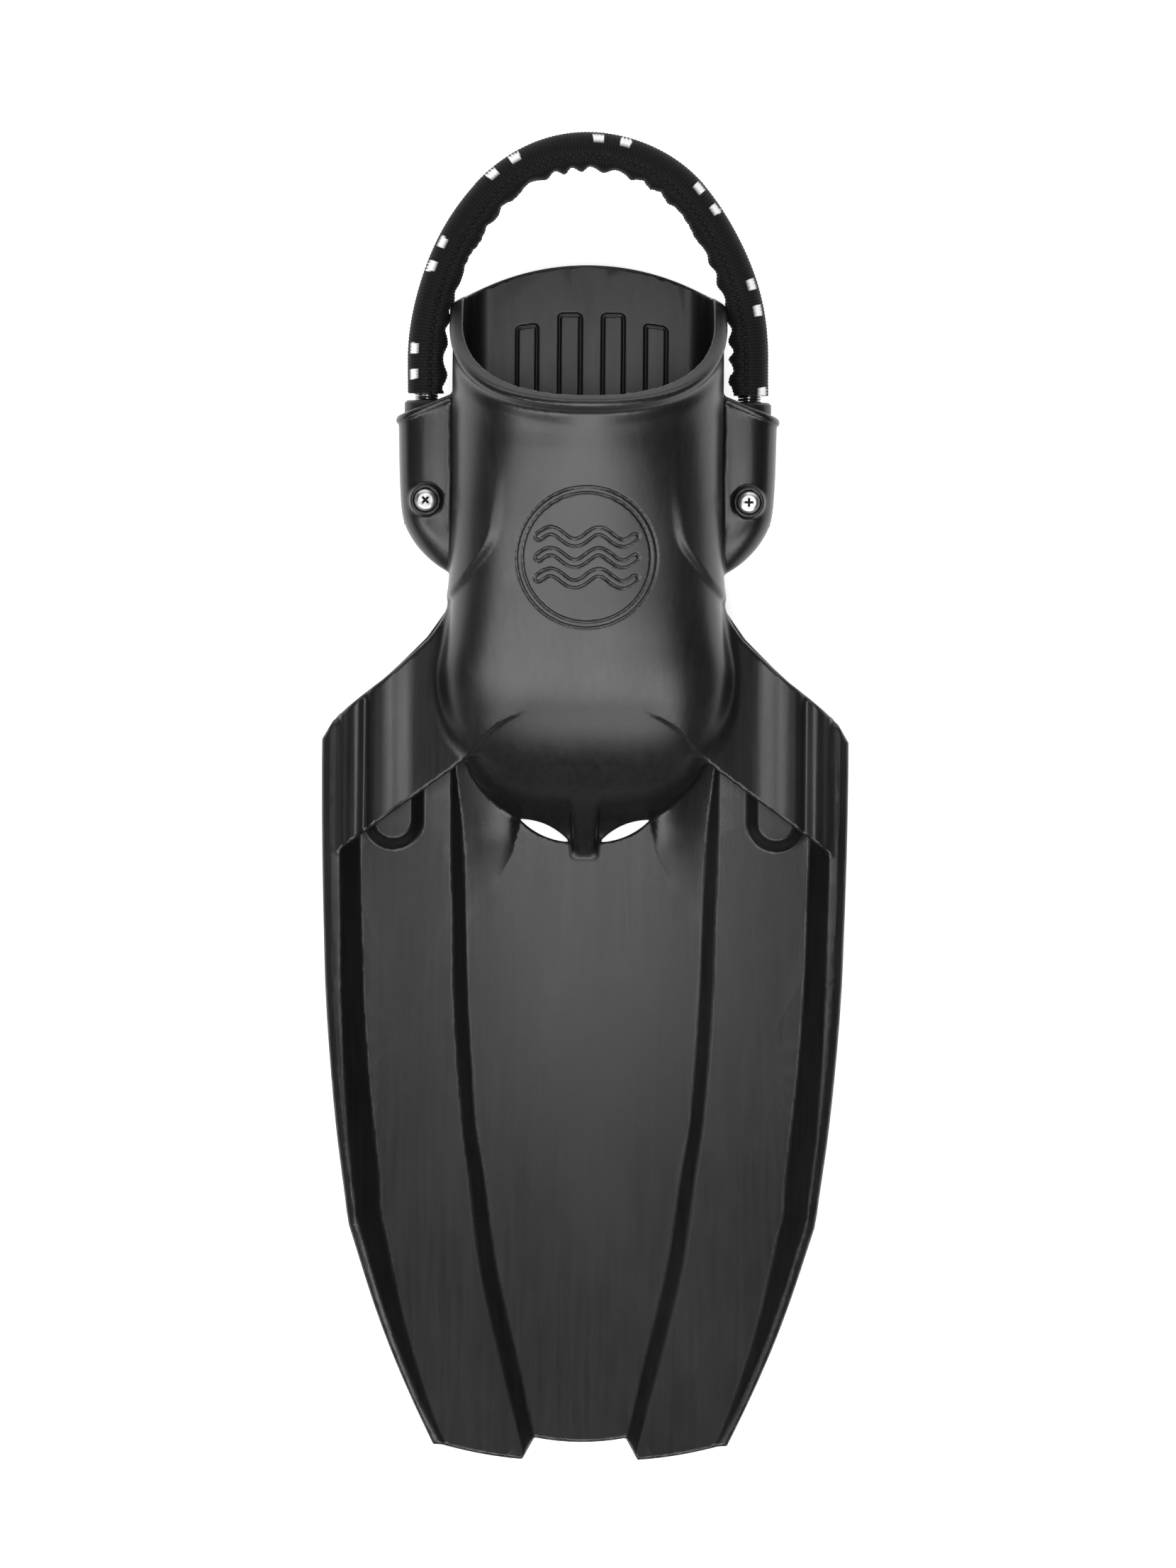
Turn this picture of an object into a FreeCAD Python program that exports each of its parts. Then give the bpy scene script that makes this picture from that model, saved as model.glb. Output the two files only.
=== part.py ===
"""Open-heel swim fin: a foot pocket and a vented blade, with a heel strap made of a coil spring in a
woven sleeve. The spring's two ends sit in plugs that are screwed into sockets at the pocket's sides.

Millimetres. X runs across the fin, +Y from the blade's tip to the heel and +Z up from the sole.
The origin is on the ground, under the middle of the fin's box.
"""
import FreeCAD, Part
import math
import os

import Sketcher

App = FreeCAD
doc = App.newDocument("swim_fin")
sheet = doc.addObject("Spreadsheet::Sheet", "Sizes")

LEFT_AND_RIGHT = (("left", -1), ("right", 1))

# The foot pocket's cross-sections, from behind the heel to the toe: place along Y, half width, height.
# Each is a flat sole, two side arcs and a crown arc, which meet smoothly at the shoulders.
POCKET_SECTIONS = {
    "behind": (240.0, 59.0, 98.0),
    "heel": (208.0, 59.1, 98.0),
    "lip": (176.0, 59.2, 98.0),
    "instep": (148.0, 58.9, 88.2),
    "waist": (120.0, 58.6, 80.0),
    "arch": (94.0, 58.9, 73.0),
    "ball": (70.0, 60.6, 66.0),
    "bulge": (48.0, 62.4, 58.5),
    "toes": (28.0, 58.4, 50.0),
    "toe_tips": (11.0, 49.5, 39.5),
    "nose": (-3.0, 37.5, 26.8),
    "nose_end": (-13.0, 25.0, 16.4),
}
CAVITY_SECTIONS = tuple(POCKET_SECTIONS)[:10]
SHOULDER_ANGLE = math.radians(40)

SIZES = {
    # longer than any cut through the part
    "through": 300.0,
    # foot pocket
    "sole_trim": 1.0,
    "pocket_wall": 4.5,
    "footbed_top": 10.0,
    "lip_y": 174.4,
    "lip_top": 98.0,
    "rim_slope_deg": 53.4,
    "heel_shoulder_y": 217.0,
    "heel_shoulder_half": 57.0,
    "heel_arc_radius": 108.0,
    # wings that join the pocket to the blade's rails
    "wing_outer": 115.3,
    "wing_outer_y": 24.6,
    "wing_chamfer": 110.7,
    "wing_chamfer_y": 32.4,
    "wing_root": 57.0,
    "wing_root_y": 91.0,
    "wing_edge_radius": 187.0,
    "wing_front": 104.2,
    "wing_front_y": -21.9,
    "wing_front_root_y": 11.3,
    "wing_inside": 44.0,
    "wing_inside_y": 45.0,
    "wing_inside_z": 46.0,
    "wing_shoulder": 66.0,
    "wing_shoulder_z": 39.0,
    "wing_middle": 82.0,
    "wing_middle_z": 34.0,
    "wing_rail": 104.0,
    "wing_rail_z": 29.0,
    "wing_rim_z": 27.5,
    "wing_thick": 3.5,
    "rail_top_z": 24.0,
    # blade
    "blade_half": 115.3,
    "blade_straight_y": -23.4,
    "kink_half": 102.5,
    "kink_y": -186.2,
    "tip_half": 64.6,
    "tip_rail_y": -284.4,
    "tip_rail_inner": 60.9,
    "tip_corner": 25.3,
    "tip_corner_y": -290.6,
    "tip_notch": 20.0,
    "tip_notch_y": -281.3,
    "upper_edge_radius": 1150.0,
    "lower_edge_radius": 550.0,
    "tip_side_radius": 260.0,
    "tip_middle_radius": 105.0,
    "channel_top": 8.0,
    "channel_bottom": 3.5,
    "panel_top": 12.5,
    "panel_bottom": 7.5,
    "panel_start": 58.6,
    "panel_start_y": 12.2,
    "panel_middle": 51.5,
    "panel_middle_y": -162.9,
    "panel_edge_radius": 1500.0,
    "panel_wall": 6.0,
    "rail_wide": 11.0,
    "rail_narrow": 4.2,
    "rail_tip_z": 13.5,
    "boss_x": 84.0,
    "boss_half": 12.5,
    "boss_end_y": -23.4,
    "boss_start_y": 24.0,
    "boss_top": 18.5,
    # drain eyes between the toe and the blade
    "eye_inner": 6.6,
    "eye_inner_y": -19.8,
    "eye_outer": 28.5,
    "eye_outer_y": -9.9,
    "eye_toe_radius": 29.0,
    "eye_blade_radius": 32.6,
    # strap sockets, one at each side of the pocket
    "ear_x": 70.6,
    "ear_z": 32.0,
    "ear_radius": 12.6,
    "ear_lip_radius": 13.6,
    "ear_lip_length": 4.0,
    "ear_top_y": 176.0,
    "ear_outer_top_y": 163.0,
    "ear_shoulder_y": 122.0,
    "ear_end_y": 100.0,
    "ear_end_radius": 4.0,
    "ear_round_radius": 24.0,
    "socket_radius": 9.9,
    "socket_end_y": 116.0,
    # screws, nuts and plugs
    "screw_y": 129.1,
    "screw_boss_radius": 6.8,
    "screw_boss_top": 46.4,
    "screw_seat_z": 44.4,
    "screw_seat_radius": 5.2,
    "screw_head_radius": 4.85,
    "screw_head_depth": 3.0,
    "screw_shank_radius": 2.5,
    "screw_hole_radius": 2.6,
    "screw_length": 26.0,
    "recess_arm": 2.6,
    "recess_slot": 0.55,
    "recess_depth": 1.8,
    "nut_radius": 4.6,
    "nut_pocket_radius": 4.7,
    "nut_bore_radius": 2.52,
    "nut_thick": 4.0,
    "nut_bottom_z": 18.0,
    "nut_boss_radius": 7.4,
    "nut_boss_bottom_z": 16.4,
    "plug_radius": 9.5,
    "plug_top_y": 172.8,
    "plug_end_y": 118.0,
    "plug_chamfer": 1.0,
    "plug_bore_radius": 5.4,
    "plug_bore_end_y": 144.0,
    "stud_radius": 3.85,
    "stud_flange_radius": 5.4,
    "stud_flange": 2.0,
    "stud_end_y": 160.0,
    # heel strap: spring and sleeve
    "spring_radius": 5.25,
    "spring_inside": 4.0,
    "spring_start_y": 146.2,
    "strap_straight_y": 190.5,
    "strap_side_radius": 110.0,
    "strap_top_radius": 58.1,
    "strap_joint_x": 43.98,
    "strap_joint_y": 262.37,
    "sleeve_start_y": 185.0,
    "sleeve_out": 8.0,
    "sleeve_in": 8.0,
    "sleeve_thick": 1.4,
    "sleeve_half_height": 8.8,
    "seam_in": 1.6,
    "seam_gap": 0.1,
    "thread_radius": 0.45,
}


def section_sizes(half, height):
    """Crown radius, side radius, shoulder's half width and shoulder's height of a cross-section."""
    sine, cosine = math.sin(SHOULDER_ANGLE), math.cos(SHOULDER_ANGLE)
    side_bulge = (1 - cosine) / (2 * sine)
    crown = (half - side_bulge * height) / (cosine - side_bulge * (1 - sine))
    shoulder = height - crown * (1 - sine)
    return crown, shoulder / (2 * sine), crown * cosine, shoulder


for section, (along, half, height) in POCKET_SECTIONS.items():
    inner_half = half - SIZES["pocket_wall"]
    inner_height = height - SIZES["pocket_wall"] - SIZES["footbed_top"]
    SIZES[f"{section}_section_y"] = along
    for face, sizes in (
        ("outer", section_sizes(half, height + SIZES["sole_trim"])),
        ("inner", section_sizes(inner_half, inner_height)),
    ):
        for quantity, number in zip(("crown", "side", "shoulder", "shoulder_z"), sizes):
            SIZES[f"{section}_{face}_{quantity}"] = round(number, 4)

for row, (name, number) in enumerate(SIZES.items(), start=1):
    sheet.set(f"A{row}", name)
    sheet.set(f"B{row}", str(number))
    sheet.setAlias(f"B{row}", name)
doc.recompute()


def measure(text):
    """The value of a sum such as "ear_x - plug_radius"."""
    total, sign = 0.0, 1
    for word in text.split():
        if word in ("+", "-"):
            sign = -1 if word == "-" else 1
        else:
            total += sign * (SIZES[word] if word in SIZES else float(word))
    return total


def formula(text):
    """The same sum as an expression on the sheet."""
    return " ".join(f"Sizes.{word}" if word in SIZES else word for word in text.split())


def bind(thing, **sizes):
    """Ties properties to the sheet; a double underscore stands for a dot."""
    for path, text in sizes.items():
        thing.setExpression(path.replace("__", "."), formula(text))


def place(thing, x="0", y="0", z="0", turn=((0, 0, 1), 0)):
    """Puts a thing at a point given by the sheet, turned by (axis, degrees)."""
    axis, degrees = turn
    thing.Placement = App.Placement(
        App.Vector(measure(x), measure(y), measure(z)),
        App.Rotation(App.Vector(*axis), degrees),
    )
    bind(thing, Placement__Base__x=x, Placement__Base__y=y, Placement__Base__z=z)


def primitive(kind, name, **sizes):
    thing = doc.addObject(f"Part::{kind}", name)
    bind(thing, **sizes)
    return thing


def combine(kind, name, **links):
    thing = doc.addObject(f"Part::{kind}", name)
    for link, target in links.items():
        setattr(thing, link, target)
    return thing


def joined(name, *things):
    return combine("MultiFuse", name, Shapes=list(things), Refine=False)


def cut(name, base, tool):
    return combine("Cut", name, Base=base, Tool=tool, Refine=False)


def body(name):
    return doc.addObject("PartDesign::Body", name)


def origin_feature(owner, role):
    return next(f for f in owner.Origin.OriginFeatures if f.Role == role)


def bowed(start, end, radius, side):
    """An arc from start to end that bulges to the left (side 1) or right (-1) of the way."""
    chord = end - start
    half = chord.Length / 2
    rise = radius - math.sqrt(radius**2 - half**2)
    left = App.Vector(-chord.y, chord.x, 0).normalize()
    return Part.Arc(start, (start + end) * 0.5 + left * (side * rise), end)


def draw(owner, name, plane, corners, lift="0", closed=True):
    """An outline in one of the body's own planes, lifted off it along its normal.

    A corner is (x, y) as sums of sheet names. It is (x, y, radius, side) where an arc leads to it.
    """
    sketch = owner.newObject("Sketcher::SketchObject", name)
    sketch.AttachmentSupport = [(origin_feature(owner, plane), "")]
    sketch.MapMode = "FlatFace"
    bind(sketch, AttachmentOffset__Base__z=lift)
    points = [App.Vector(measure(corner[0]), measure(corner[1]), 0) for corner in corners]
    first = 0 if closed else 1
    ends = {}
    for number in range(first, len(corners)):
        start, end, arc = points[number - 1], points[number], corners[number][2:]
        edge = bowed(start, end, measure(arc[0]), arc[1]) if arc else Part.LineSegment(start, end)
        index = sketch.addGeometry(edge)
        ahead = sketch.getPoint(index, 1).distanceToPoint(start) < 1e-6
        ends[number] = (index, (1, 2) if ahead else (2, 1))
        if arc:
            radius = sketch.addConstraint(Sketcher.Constraint("Radius", index, measure(arc[0])))
            sketch.renameConstraint(radius, f"bow{number}")
            bind(sketch, **{f"Constraints__bow{number}": arc[0]})
    for number in ends:
        before = (number - 1) % len(corners)
        if before in ends:
            joint = (ends[before][0], ends[before][1][1], ends[number][0], ends[number][1][0])
            sketch.addConstraint(Sketcher.Constraint("Coincident", *joint))
    for number, corner in enumerate(corners):
        index, at = ends[number] if number in ends else ends[number + 1]
        pin = at[1] if number in ends else at[0]
        for kind, text, axis in (("DistanceX", corner[0], -2), ("DistanceY", corner[1], -1)):
            if measure(text) == 0:
                sketch.addConstraint(Sketcher.Constraint("PointOnObject", index, pin, axis))
                continue
            held = sketch.addConstraint(Sketcher.Constraint(kind, index, pin, measure(text)))
            sketch.renameConstraint(held, f"{kind}{number}")
            bind(sketch, **{f"Constraints__{kind}{number}": text})
    if sketch.solve() != 0:
        raise ValueError(f"sketch {name} can't be solved")
    return sketch


def circle(owner, name, plane, radius, x="0", y="0", lift="0"):
    sketch = owner.newObject("Sketcher::SketchObject", name)
    sketch.AttachmentSupport = [(origin_feature(owner, plane), "")]
    sketch.MapMode = "FlatFace"
    bind(sketch, AttachmentOffset__Base__z=lift)
    centre = App.Vector(measure(x), measure(y), 0)
    ring = sketch.addGeometry(Part.Circle(centre, App.Vector(0, 0, 1), measure(radius)))
    size = sketch.addConstraint(Sketcher.Constraint("Radius", ring, measure(radius)))
    sketch.renameConstraint(size, "size")
    bind(sketch, Constraints__size=radius)
    for kind, text, axis in (("DistanceX", x, -2), ("DistanceY", y, -1)):
        if measure(text) == 0:
            sketch.addConstraint(Sketcher.Constraint("PointOnObject", ring, 3, axis))
            continue
        held = sketch.addConstraint(Sketcher.Constraint(kind, ring, 3, measure(text)))
        sketch.renameConstraint(held, f"{kind}_centre")
        bind(sketch, **{f"Constraints__{kind}_centre": text})
    return sketch


def pad(owner, sketch, length, both=False):
    feature = owner.newObject("PartDesign::Pad", f"{sketch.Name}_pad")
    feature.Profile = sketch
    feature.Midplane = both
    bind(feature, Length=length)


def pocket(owner, sketch, length, both=False):
    before = volume_of(owner)
    feature = owner.newObject("PartDesign::Pocket", f"{sketch.Name}_cut")
    feature.Profile = sketch
    feature.Midplane = both
    bind(feature, Length=length)
    if volume_of(owner) > before - 1:
        raise ValueError(f"{feature.Name} cuts nothing")


def volume_of(owner):
    doc.recompute()
    return owner.Shape.Volume


def revolve(owner, sketch, axis="Y_Axis"):
    feature = owner.newObject("PartDesign::Revolution", f"{sketch.Name}_turn")
    feature.Profile = sketch
    feature.ReferenceAxis = (origin_feature(owner, axis), [""])
    feature.Angle = 360.0


def mirrored(corners):
    """The outline's right half, drawn upwards, followed by its left half, drawn downwards."""
    left = []
    for number in range(len(corners) - 1, -1, -1):
        x, y = corners[number][:2]
        arc = corners[number + 1][2:] if number + 1 < len(corners) else ()
        left.append((opposite(x), y, *arc))
    return [*corners, *left]


def opposite(text):
    """The same sum with its sign changed."""
    swap = {"+": "-", "-": "+"}
    words = text.split()
    words = words if words[0] in swap else ["+", *words]
    words = [swap.get(word, word) for word in words]
    return " ".join(words[1:] if words[0] == "+" else words)


def across(side):
    """Turns a place on the right into the same place on the given side."""
    return opposite if side < 0 else str


# ---------------------------------------------------------------- foot pocket


def lofted(name, sections, face, floor):
    """A body through the cross-sections' outer or inner outlines, standing on a flat floor."""
    form = body(name)
    sketches = []
    for section in sections:
        size = f"{section}_{face}"
        corners = [
            (f"- {size}_shoulder", floor, f"{size}_side", -1),
            (f"{size}_shoulder", floor),
            (f"{size}_shoulder", f"{floor} + {size}_shoulder_z", f"{size}_side", -1),
            (f"- {size}_shoulder", f"{floor} + {size}_shoulder_z", f"{size}_crown", -1),
        ]
        lift = f"- {section}_section_y"
        sketches.append(draw(form, f"{name}_{section}", "XZ_Plane", corners, lift))
    loft = form.newObject("PartDesign::AdditiveLoft", f"{name}_loft")
    loft.Profile = sketches[0]
    loft.Sections = sketches[1:]
    return form


def behind_rim():
    """All that lies behind the slanted plane of the foot opening, above the heel plate."""
    block = primitive(
        "Box", "behind_rim", Length="wing_outer + wing_outer", Width="through", Height="through"
    )
    slope = ((-1, 0, 0), SIZES["rim_slope_deg"])
    place(block, "- wing_outer", "lip_y", "lip_top", turn=slope)
    bind(block, Placement__Rotation__Angle="rim_slope_deg")
    return block


def heel_outline():
    """The plan of the pocket, rounded behind the heel."""
    plan = body("pocket_plan")
    corners = mirrored(
        [
            ("ear_x", "eye_inner_y - 20"),
            ("ear_x", "heel_shoulder_y - 20"),
            ("heel_shoulder_half", "heel_shoulder_y"),
        ]
    )
    corners[3] = (*corners[3][:2], "heel_arc_radius", -1)
    pad(plan, draw(plan, "pocket_plan_outline", "XY_Plane", corners), "through")
    return plan


def wing(name, side):
    """The web from the pocket's side to the blade's rail, over the water duct."""
    x = across(side)
    band = body(f"{name}_wing_band")
    profile = [
        (x("wing_inside"), "wing_inside_z - wing_thick"),
        (x("wing_shoulder"), "wing_shoulder_z - wing_thick"),
        (x("wing_middle"), "wing_middle_z - wing_thick"),
        (x("wing_rail"), "rail_top_z"),
        (x("wing_outer"), "rail_top_z"),
        (x("wing_outer"), "wing_rim_z"),
        (x("wing_rail"), "wing_rail_z"),
        (x("wing_middle"), "wing_middle_z"),
        (x("wing_shoulder"), "wing_shoulder_z"),
        (x("wing_inside"), "wing_inside_z"),
    ]
    pad(band, draw(band, f"{name}_wing_profile", "XZ_Plane", profile), "through", both=True)
    plan = body(f"{name}_wing_plan")
    outline = [
        (x("wing_inside"), "wing_root_y"),
        (x("wing_inside"), "wing_inside_y"),
        (x("panel_start"), "wing_front_root_y"),
        (x("wing_front"), "wing_front_y"),
        (x("wing_outer"), "wing_front_y"),
        (x("wing_outer"), "wing_outer_y"),
        (x("wing_chamfer"), "wing_chamfer_y"),
        (x("wing_root"), "wing_root_y", "wing_edge_radius", side),
    ]
    pad(plan, draw(plan, f"{name}_wing_outline", "XY_Plane", outline), "through")
    return combine("Common", f"{name}_wing", Base=band, Tool=plan)


def ear(name, side):
    """The strap socket's outer form: a tube along Y that rounds off into the pocket's side."""
    tube = body(f"{name}_ear")
    profile = [
        ("0", "ear_end_y"),
        ("ear_end_radius", "ear_end_y"),
        ("ear_radius", "ear_shoulder_y", "ear_round_radius", -1),
        ("ear_radius", "ear_outer_top_y - ear_lip_length"),
        ("ear_lip_radius", "ear_outer_top_y - 2"),
        ("ear_lip_radius", "ear_top_y"),
        ("0", "ear_top_y"),
    ]
    revolve(tube, draw(tube, f"{name}_ear_profile", "XY_Plane", profile))
    x = across(side)
    slant = [
        (x("ear_lip_radius + 1"), "ear_outer_top_y"),
        (x("ear_lip_radius + 1"), "ear_top_y + 1"),
        (x("- ear_radius"), "ear_top_y + 1"),
        (x("- ear_radius"), "ear_top_y"),
    ]
    pocket(tube, draw(tube, f"{name}_ear_slant", "XY_Plane", slant), "through", both=True)
    place(tube, x("ear_x"), "0", "ear_z")
    return tube


def screw_bosses(name, side):
    """The raised ring under the screw's head, and the seat of its nut under the socket."""
    x = across(side)("ear_x")
    ring = primitive(
        "Cylinder", f"{name}_screw_boss", Radius="screw_boss_radius", Height="screw_boss_top - ear_z"
    )
    place(ring, x, "screw_y", "ear_z")
    seat = primitive(
        "Cylinder", f"{name}_nut_boss", Radius="nut_boss_radius", Height="ear_z - nut_boss_bottom_z"
    )
    place(seat, x, "screw_y", "nut_boss_bottom_z")
    return ring, seat


def socket_cuts(name, side):
    """The bore for the plug, the screw's hole and seat, and the hexagonal pocket of the nut."""
    x = across(side)("ear_x")
    bore = primitive("Cylinder", f"{name}_socket", Radius="socket_radius", Height="through")
    place(bore, x, "socket_end_y", "ear_z", turn=((1, 0, 0), -90))
    hole = primitive("Cylinder", f"{name}_screw_hole", Radius="screw_hole_radius", Height="through")
    place(hole, x, "screw_y")
    seat = primitive("Cylinder", f"{name}_screw_seat", Radius="screw_seat_radius", Height="through")
    place(seat, x, "screw_y", "screw_seat_z")
    top = "nut_bottom_z + nut_thick + 0.5"
    nut = primitive("Prism", f"{name}_nut_seat", Circumradius="nut_pocket_radius", Height=top)
    nut.Polygon = 6
    place(nut, x, "screw_y")
    return bore, hole, seat, nut


def drain_eyes(name):
    """Two lens-shaped through holes between the toe and the blade's middle panel."""
    eyes = []
    for side_name, side in LEFT_AND_RIGHT:
        x = across(side)
        lens = body(f"{name}_{side_name}_eye")
        corners = [
            (x("eye_inner"), "eye_inner_y", "eye_toe_radius", -side),
            (x("eye_outer"), "eye_outer_y", "eye_blade_radius", -side),
        ]
        outline = draw(lens, f"{name}_{side_name}_eye_outline", "XY_Plane", corners, "- 10")
        pad(lens, outline, "through")
        eyes.append(lens)
    return eyes


def foot_pocket():
    """Pocket, wings and sockets, moulded as one rubber piece. Returns it and its filled hull."""
    hull = lofted("pocket_hull", POCKET_SECTIONS, "outer", "- sole_trim")
    filled = combine("Common", "pocket_in_plan", Base=hull, Tool=heel_outline(), Refine=False)
    room = lofted("pocket_room", CAVITY_SECTIONS, "inner", "footbed_top")
    open_heel = cut("pocket_with_rim", filled, behind_rim())
    pieces = [cut("pocket_shell", open_heel, room)]
    hollows = drain_eyes("pocket")
    for name, side in LEFT_AND_RIGHT:
        pieces.append(cut(f"{name}_wing_outside_room", wing(name, side), room))
        pieces += [ear(name, side), *screw_bosses(name, side)]
        hollows += socket_cuts(name, side)
    moulding = joined("pocket_form", *pieces)
    for hollow in hollows:
        moulding = cut(f"moulding_less_{hollow.Name}", moulding, hollow)
    return moulding, filled


# ---------------------------------------------------------------- blade

def blade_outline():
    return mirrored(
        [
            ("tip_notch", "tip_notch_y"),
            ("tip_corner", "tip_corner_y"),
            ("tip_rail_inner", "tip_rail_y", "tip_side_radius", -1),
            ("tip_half", "tip_rail_y"),
            ("kink_half", "kink_y", "lower_edge_radius", -1),
            ("blade_half", "blade_straight_y", "upper_edge_radius", -1),
            ("wing_outer", "wing_outer_y"),
            ("wing_chamfer", "wing_chamfer_y"),
            ("wing_root", "wing_root_y", "wing_edge_radius", 1),
        ]
    )


def panel_outline(side):
    """A raised side panel, from the middle channel's edge to the rail."""
    x = across(side)
    return [
        (x("tip_notch"), "tip_notch_y"),
        (x("tip_corner"), "tip_corner_y"),
        (x("tip_rail_inner"), "tip_rail_y", "tip_side_radius", -side),
        (x("kink_half - rail_narrow"), "kink_y", "lower_edge_radius", -side),
        (x("blade_half - rail_narrow"), "blade_straight_y", "upper_edge_radius", -side),
        (x("wing_outer - rail_narrow"), "wing_outer_y"),
        (x("wing_chamfer - rail_narrow"), "wing_chamfer_y"),
        (x("wing_root"), "wing_root_y", "wing_edge_radius", side),
        (x("panel_start"), "panel_start_y"),
        (x("panel_middle"), "panel_middle_y", "panel_edge_radius", -side),
    ]


def rail_outline(side):
    """The stiffening rail along one edge: wide beside the wing and narrow at the tip."""
    x = across(side)
    return [
        (x("tip_rail_inner"), "tip_rail_y"),
        (x("tip_half"), "tip_rail_y"),
        (x("kink_half"), "kink_y", "lower_edge_radius", -side),
        (x("blade_half"), "blade_straight_y", "upper_edge_radius", -side),
        (x("wing_outer"), "wing_outer_y"),
        (x("wing_chamfer"), "wing_chamfer_y"),
        (x("wing_outer - rail_wide"), "wing_chamfer_y + 8"),
        (x("blade_half - rail_wide"), "blade_straight_y"),
        (x("kink_half - rail_wide + 2"), "kink_y", "upper_edge_radius", side),
    ]


def blade(filled_pocket):
    plate = body("blade_plate")
    middle = draw(plate, "blade_plan", "XY_Plane", closed_middle(blade_outline()), "channel_bottom")
    pad(plate, middle, "channel_top - channel_bottom")
    for name, side in LEFT_AND_RIGHT:
        panel = draw(plate, f"{name}_panel", "XY_Plane", panel_outline(side), "channel_bottom")
        pad(plate, panel, "panel_top - channel_bottom")
        rail = draw(plate, f"{name}_rail", "XY_Plane", rail_outline(side))
        pad(plate, rail, "rail_top_z")
        x = across(side)
        finger = [
            (x("boss_x - boss_half"), "boss_start_y"),
            (x("boss_x - boss_half"), "boss_end_y + boss_half"),
            (x("boss_x + boss_half"), "boss_end_y + boss_half", "boss_half + 0.01", side),
            (x("boss_x + boss_half"), "boss_start_y"),
        ]
        boss = draw(plate, f"{name}_boss", "XY_Plane", finger, "channel_bottom")
        pad(plate, boss, "boss_top - channel_bottom")
    fall = [
        ("wing_front_y - 20", "rail_top_z"),
        ("tip_corner_y - 5", "rail_tip_z"),
        ("tip_corner_y - 5", "rail_top_z + 5"),
        ("wing_front_y - 20", "rail_top_z + 5"),
    ]
    pocket(plate, draw(plate, "rail_fall", "YZ_Plane", fall), "through", both=True)
    for hollow in (*drain_eyes("blade"), *panel_reliefs(), filled_pocket):
        plate = cut(f"blade_less_{hollow.Name}", plate, hollow)
    return plate


def closed_middle(corners):
    """The same outline with the tip's middle edge bowed outwards."""
    first = (*corners[0], "tip_middle_radius", -1)
    return [first, *corners[1:]]


def panel_reliefs():
    """The hollows under the side panels, so that both faces of the blade step alike."""
    reliefs = []
    for name, side in LEFT_AND_RIGHT:
        x = across(side)
        under = body(f"{name}_relief")
        outline = [
            (x("tip_corner + panel_wall"), "tip_corner_y - 5"),
            (x("tip_rail_inner - 2"), "tip_corner_y - 5"),
            (x("kink_half - rail_wide"), "kink_y"),
            (x("blade_half - rail_wide"), "blade_straight_y"),
            (x("blade_half - rail_wide"), "wing_front_y"),
            (x("panel_start + panel_wall"), "wing_front_y"),
            (x("panel_middle + panel_wall"), "panel_middle_y", "panel_edge_radius", -side),
        ]
        pad(under, draw(under, f"{name}_relief_plan", "XY_Plane", outline, "- 1"), "panel_bottom + 1")
        reliefs.append(under)
    return reliefs


# ---------------------------------------------------------------- strap fittings

def strap_screw(name, side):
    """Pan-head machine screw with a cross recess, threaded into the nut under the socket."""
    screw = body(f"{name}_strap_screw")
    profile = [
        ("0", "- screw_length"),
        ("screw_shank_radius - 0.5", "- screw_length"),
        ("screw_shank_radius", "- screw_length + 0.5"),
        ("screw_shank_radius", "0"),
        ("screw_head_radius", "0"),
        ("screw_head_radius", "screw_head_depth - 1.2"),
        ("screw_head_radius - 1.8", "screw_head_depth", "screw_head_depth", -1),
        ("0", "screw_head_depth"),
    ]
    revolve(screw, draw(screw, f"{name}_screw_profile", "XZ_Plane", profile), "Z_Axis")
    for x, y in (("recess_arm", "recess_slot"), ("recess_slot", "recess_arm")):
        slot = [(opposite(x), opposite(y)), (x, opposite(y)), (x, y), (opposite(x), y)]
        outline = draw(screw, f"{name}_{x}", "XY_Plane", slot, "screw_head_depth + 0.5")
        pocket(screw, outline, "recess_depth + 0.5")
    place(
        screw,
        across(side)("ear_x"),
        "screw_y",
        "screw_seat_z",
        turn=((0, 0, 1), 0 if side > 0 else 45),
    )
    return screw


def strap_nut(name, side):
    nut = primitive("Prism", f"{name}_nut_blank", Circumradius="nut_radius", Height="nut_thick")
    nut.Polygon = 6
    bore = primitive("Cylinder", f"{name}_nut_bore", Radius="nut_bore_radius", Height="nut_thick + 2")
    for thing, up in ((nut, "nut_bottom_z"), (bore, "nut_bottom_z - 1")):
        place(thing, across(side)("ear_x"), "screw_y", up)
    return cut(f"{name}_strap_nut", nut, bore)


def strap_plug(name, side):
    """Round plug with the spring's hole down its middle and the screw's hole across it."""
    plug = body(f"{name}_strap_plug")
    profile = [
        ("0", "plug_end_y"),
        ("plug_radius - plug_chamfer", "plug_end_y"),
        ("plug_radius", "plug_end_y + plug_chamfer"),
        ("plug_radius", "plug_top_y - plug_chamfer"),
        ("plug_radius - plug_chamfer", "plug_top_y"),
        ("plug_bore_radius", "plug_top_y"),
        ("plug_bore_radius", "plug_bore_end_y"),
        ("0", "plug_bore_end_y"),
    ]
    revolve(plug, draw(plug, f"{name}_plug_profile", "XY_Plane", profile))
    hole = circle(plug, f"{name}_plug_hole", "XY_Plane", "screw_hole_radius", y="screw_y")
    pocket(plug, hole, "through", both=True)
    place(plug, across(side)("ear_x"), "0", "ear_z")
    return plug


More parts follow.
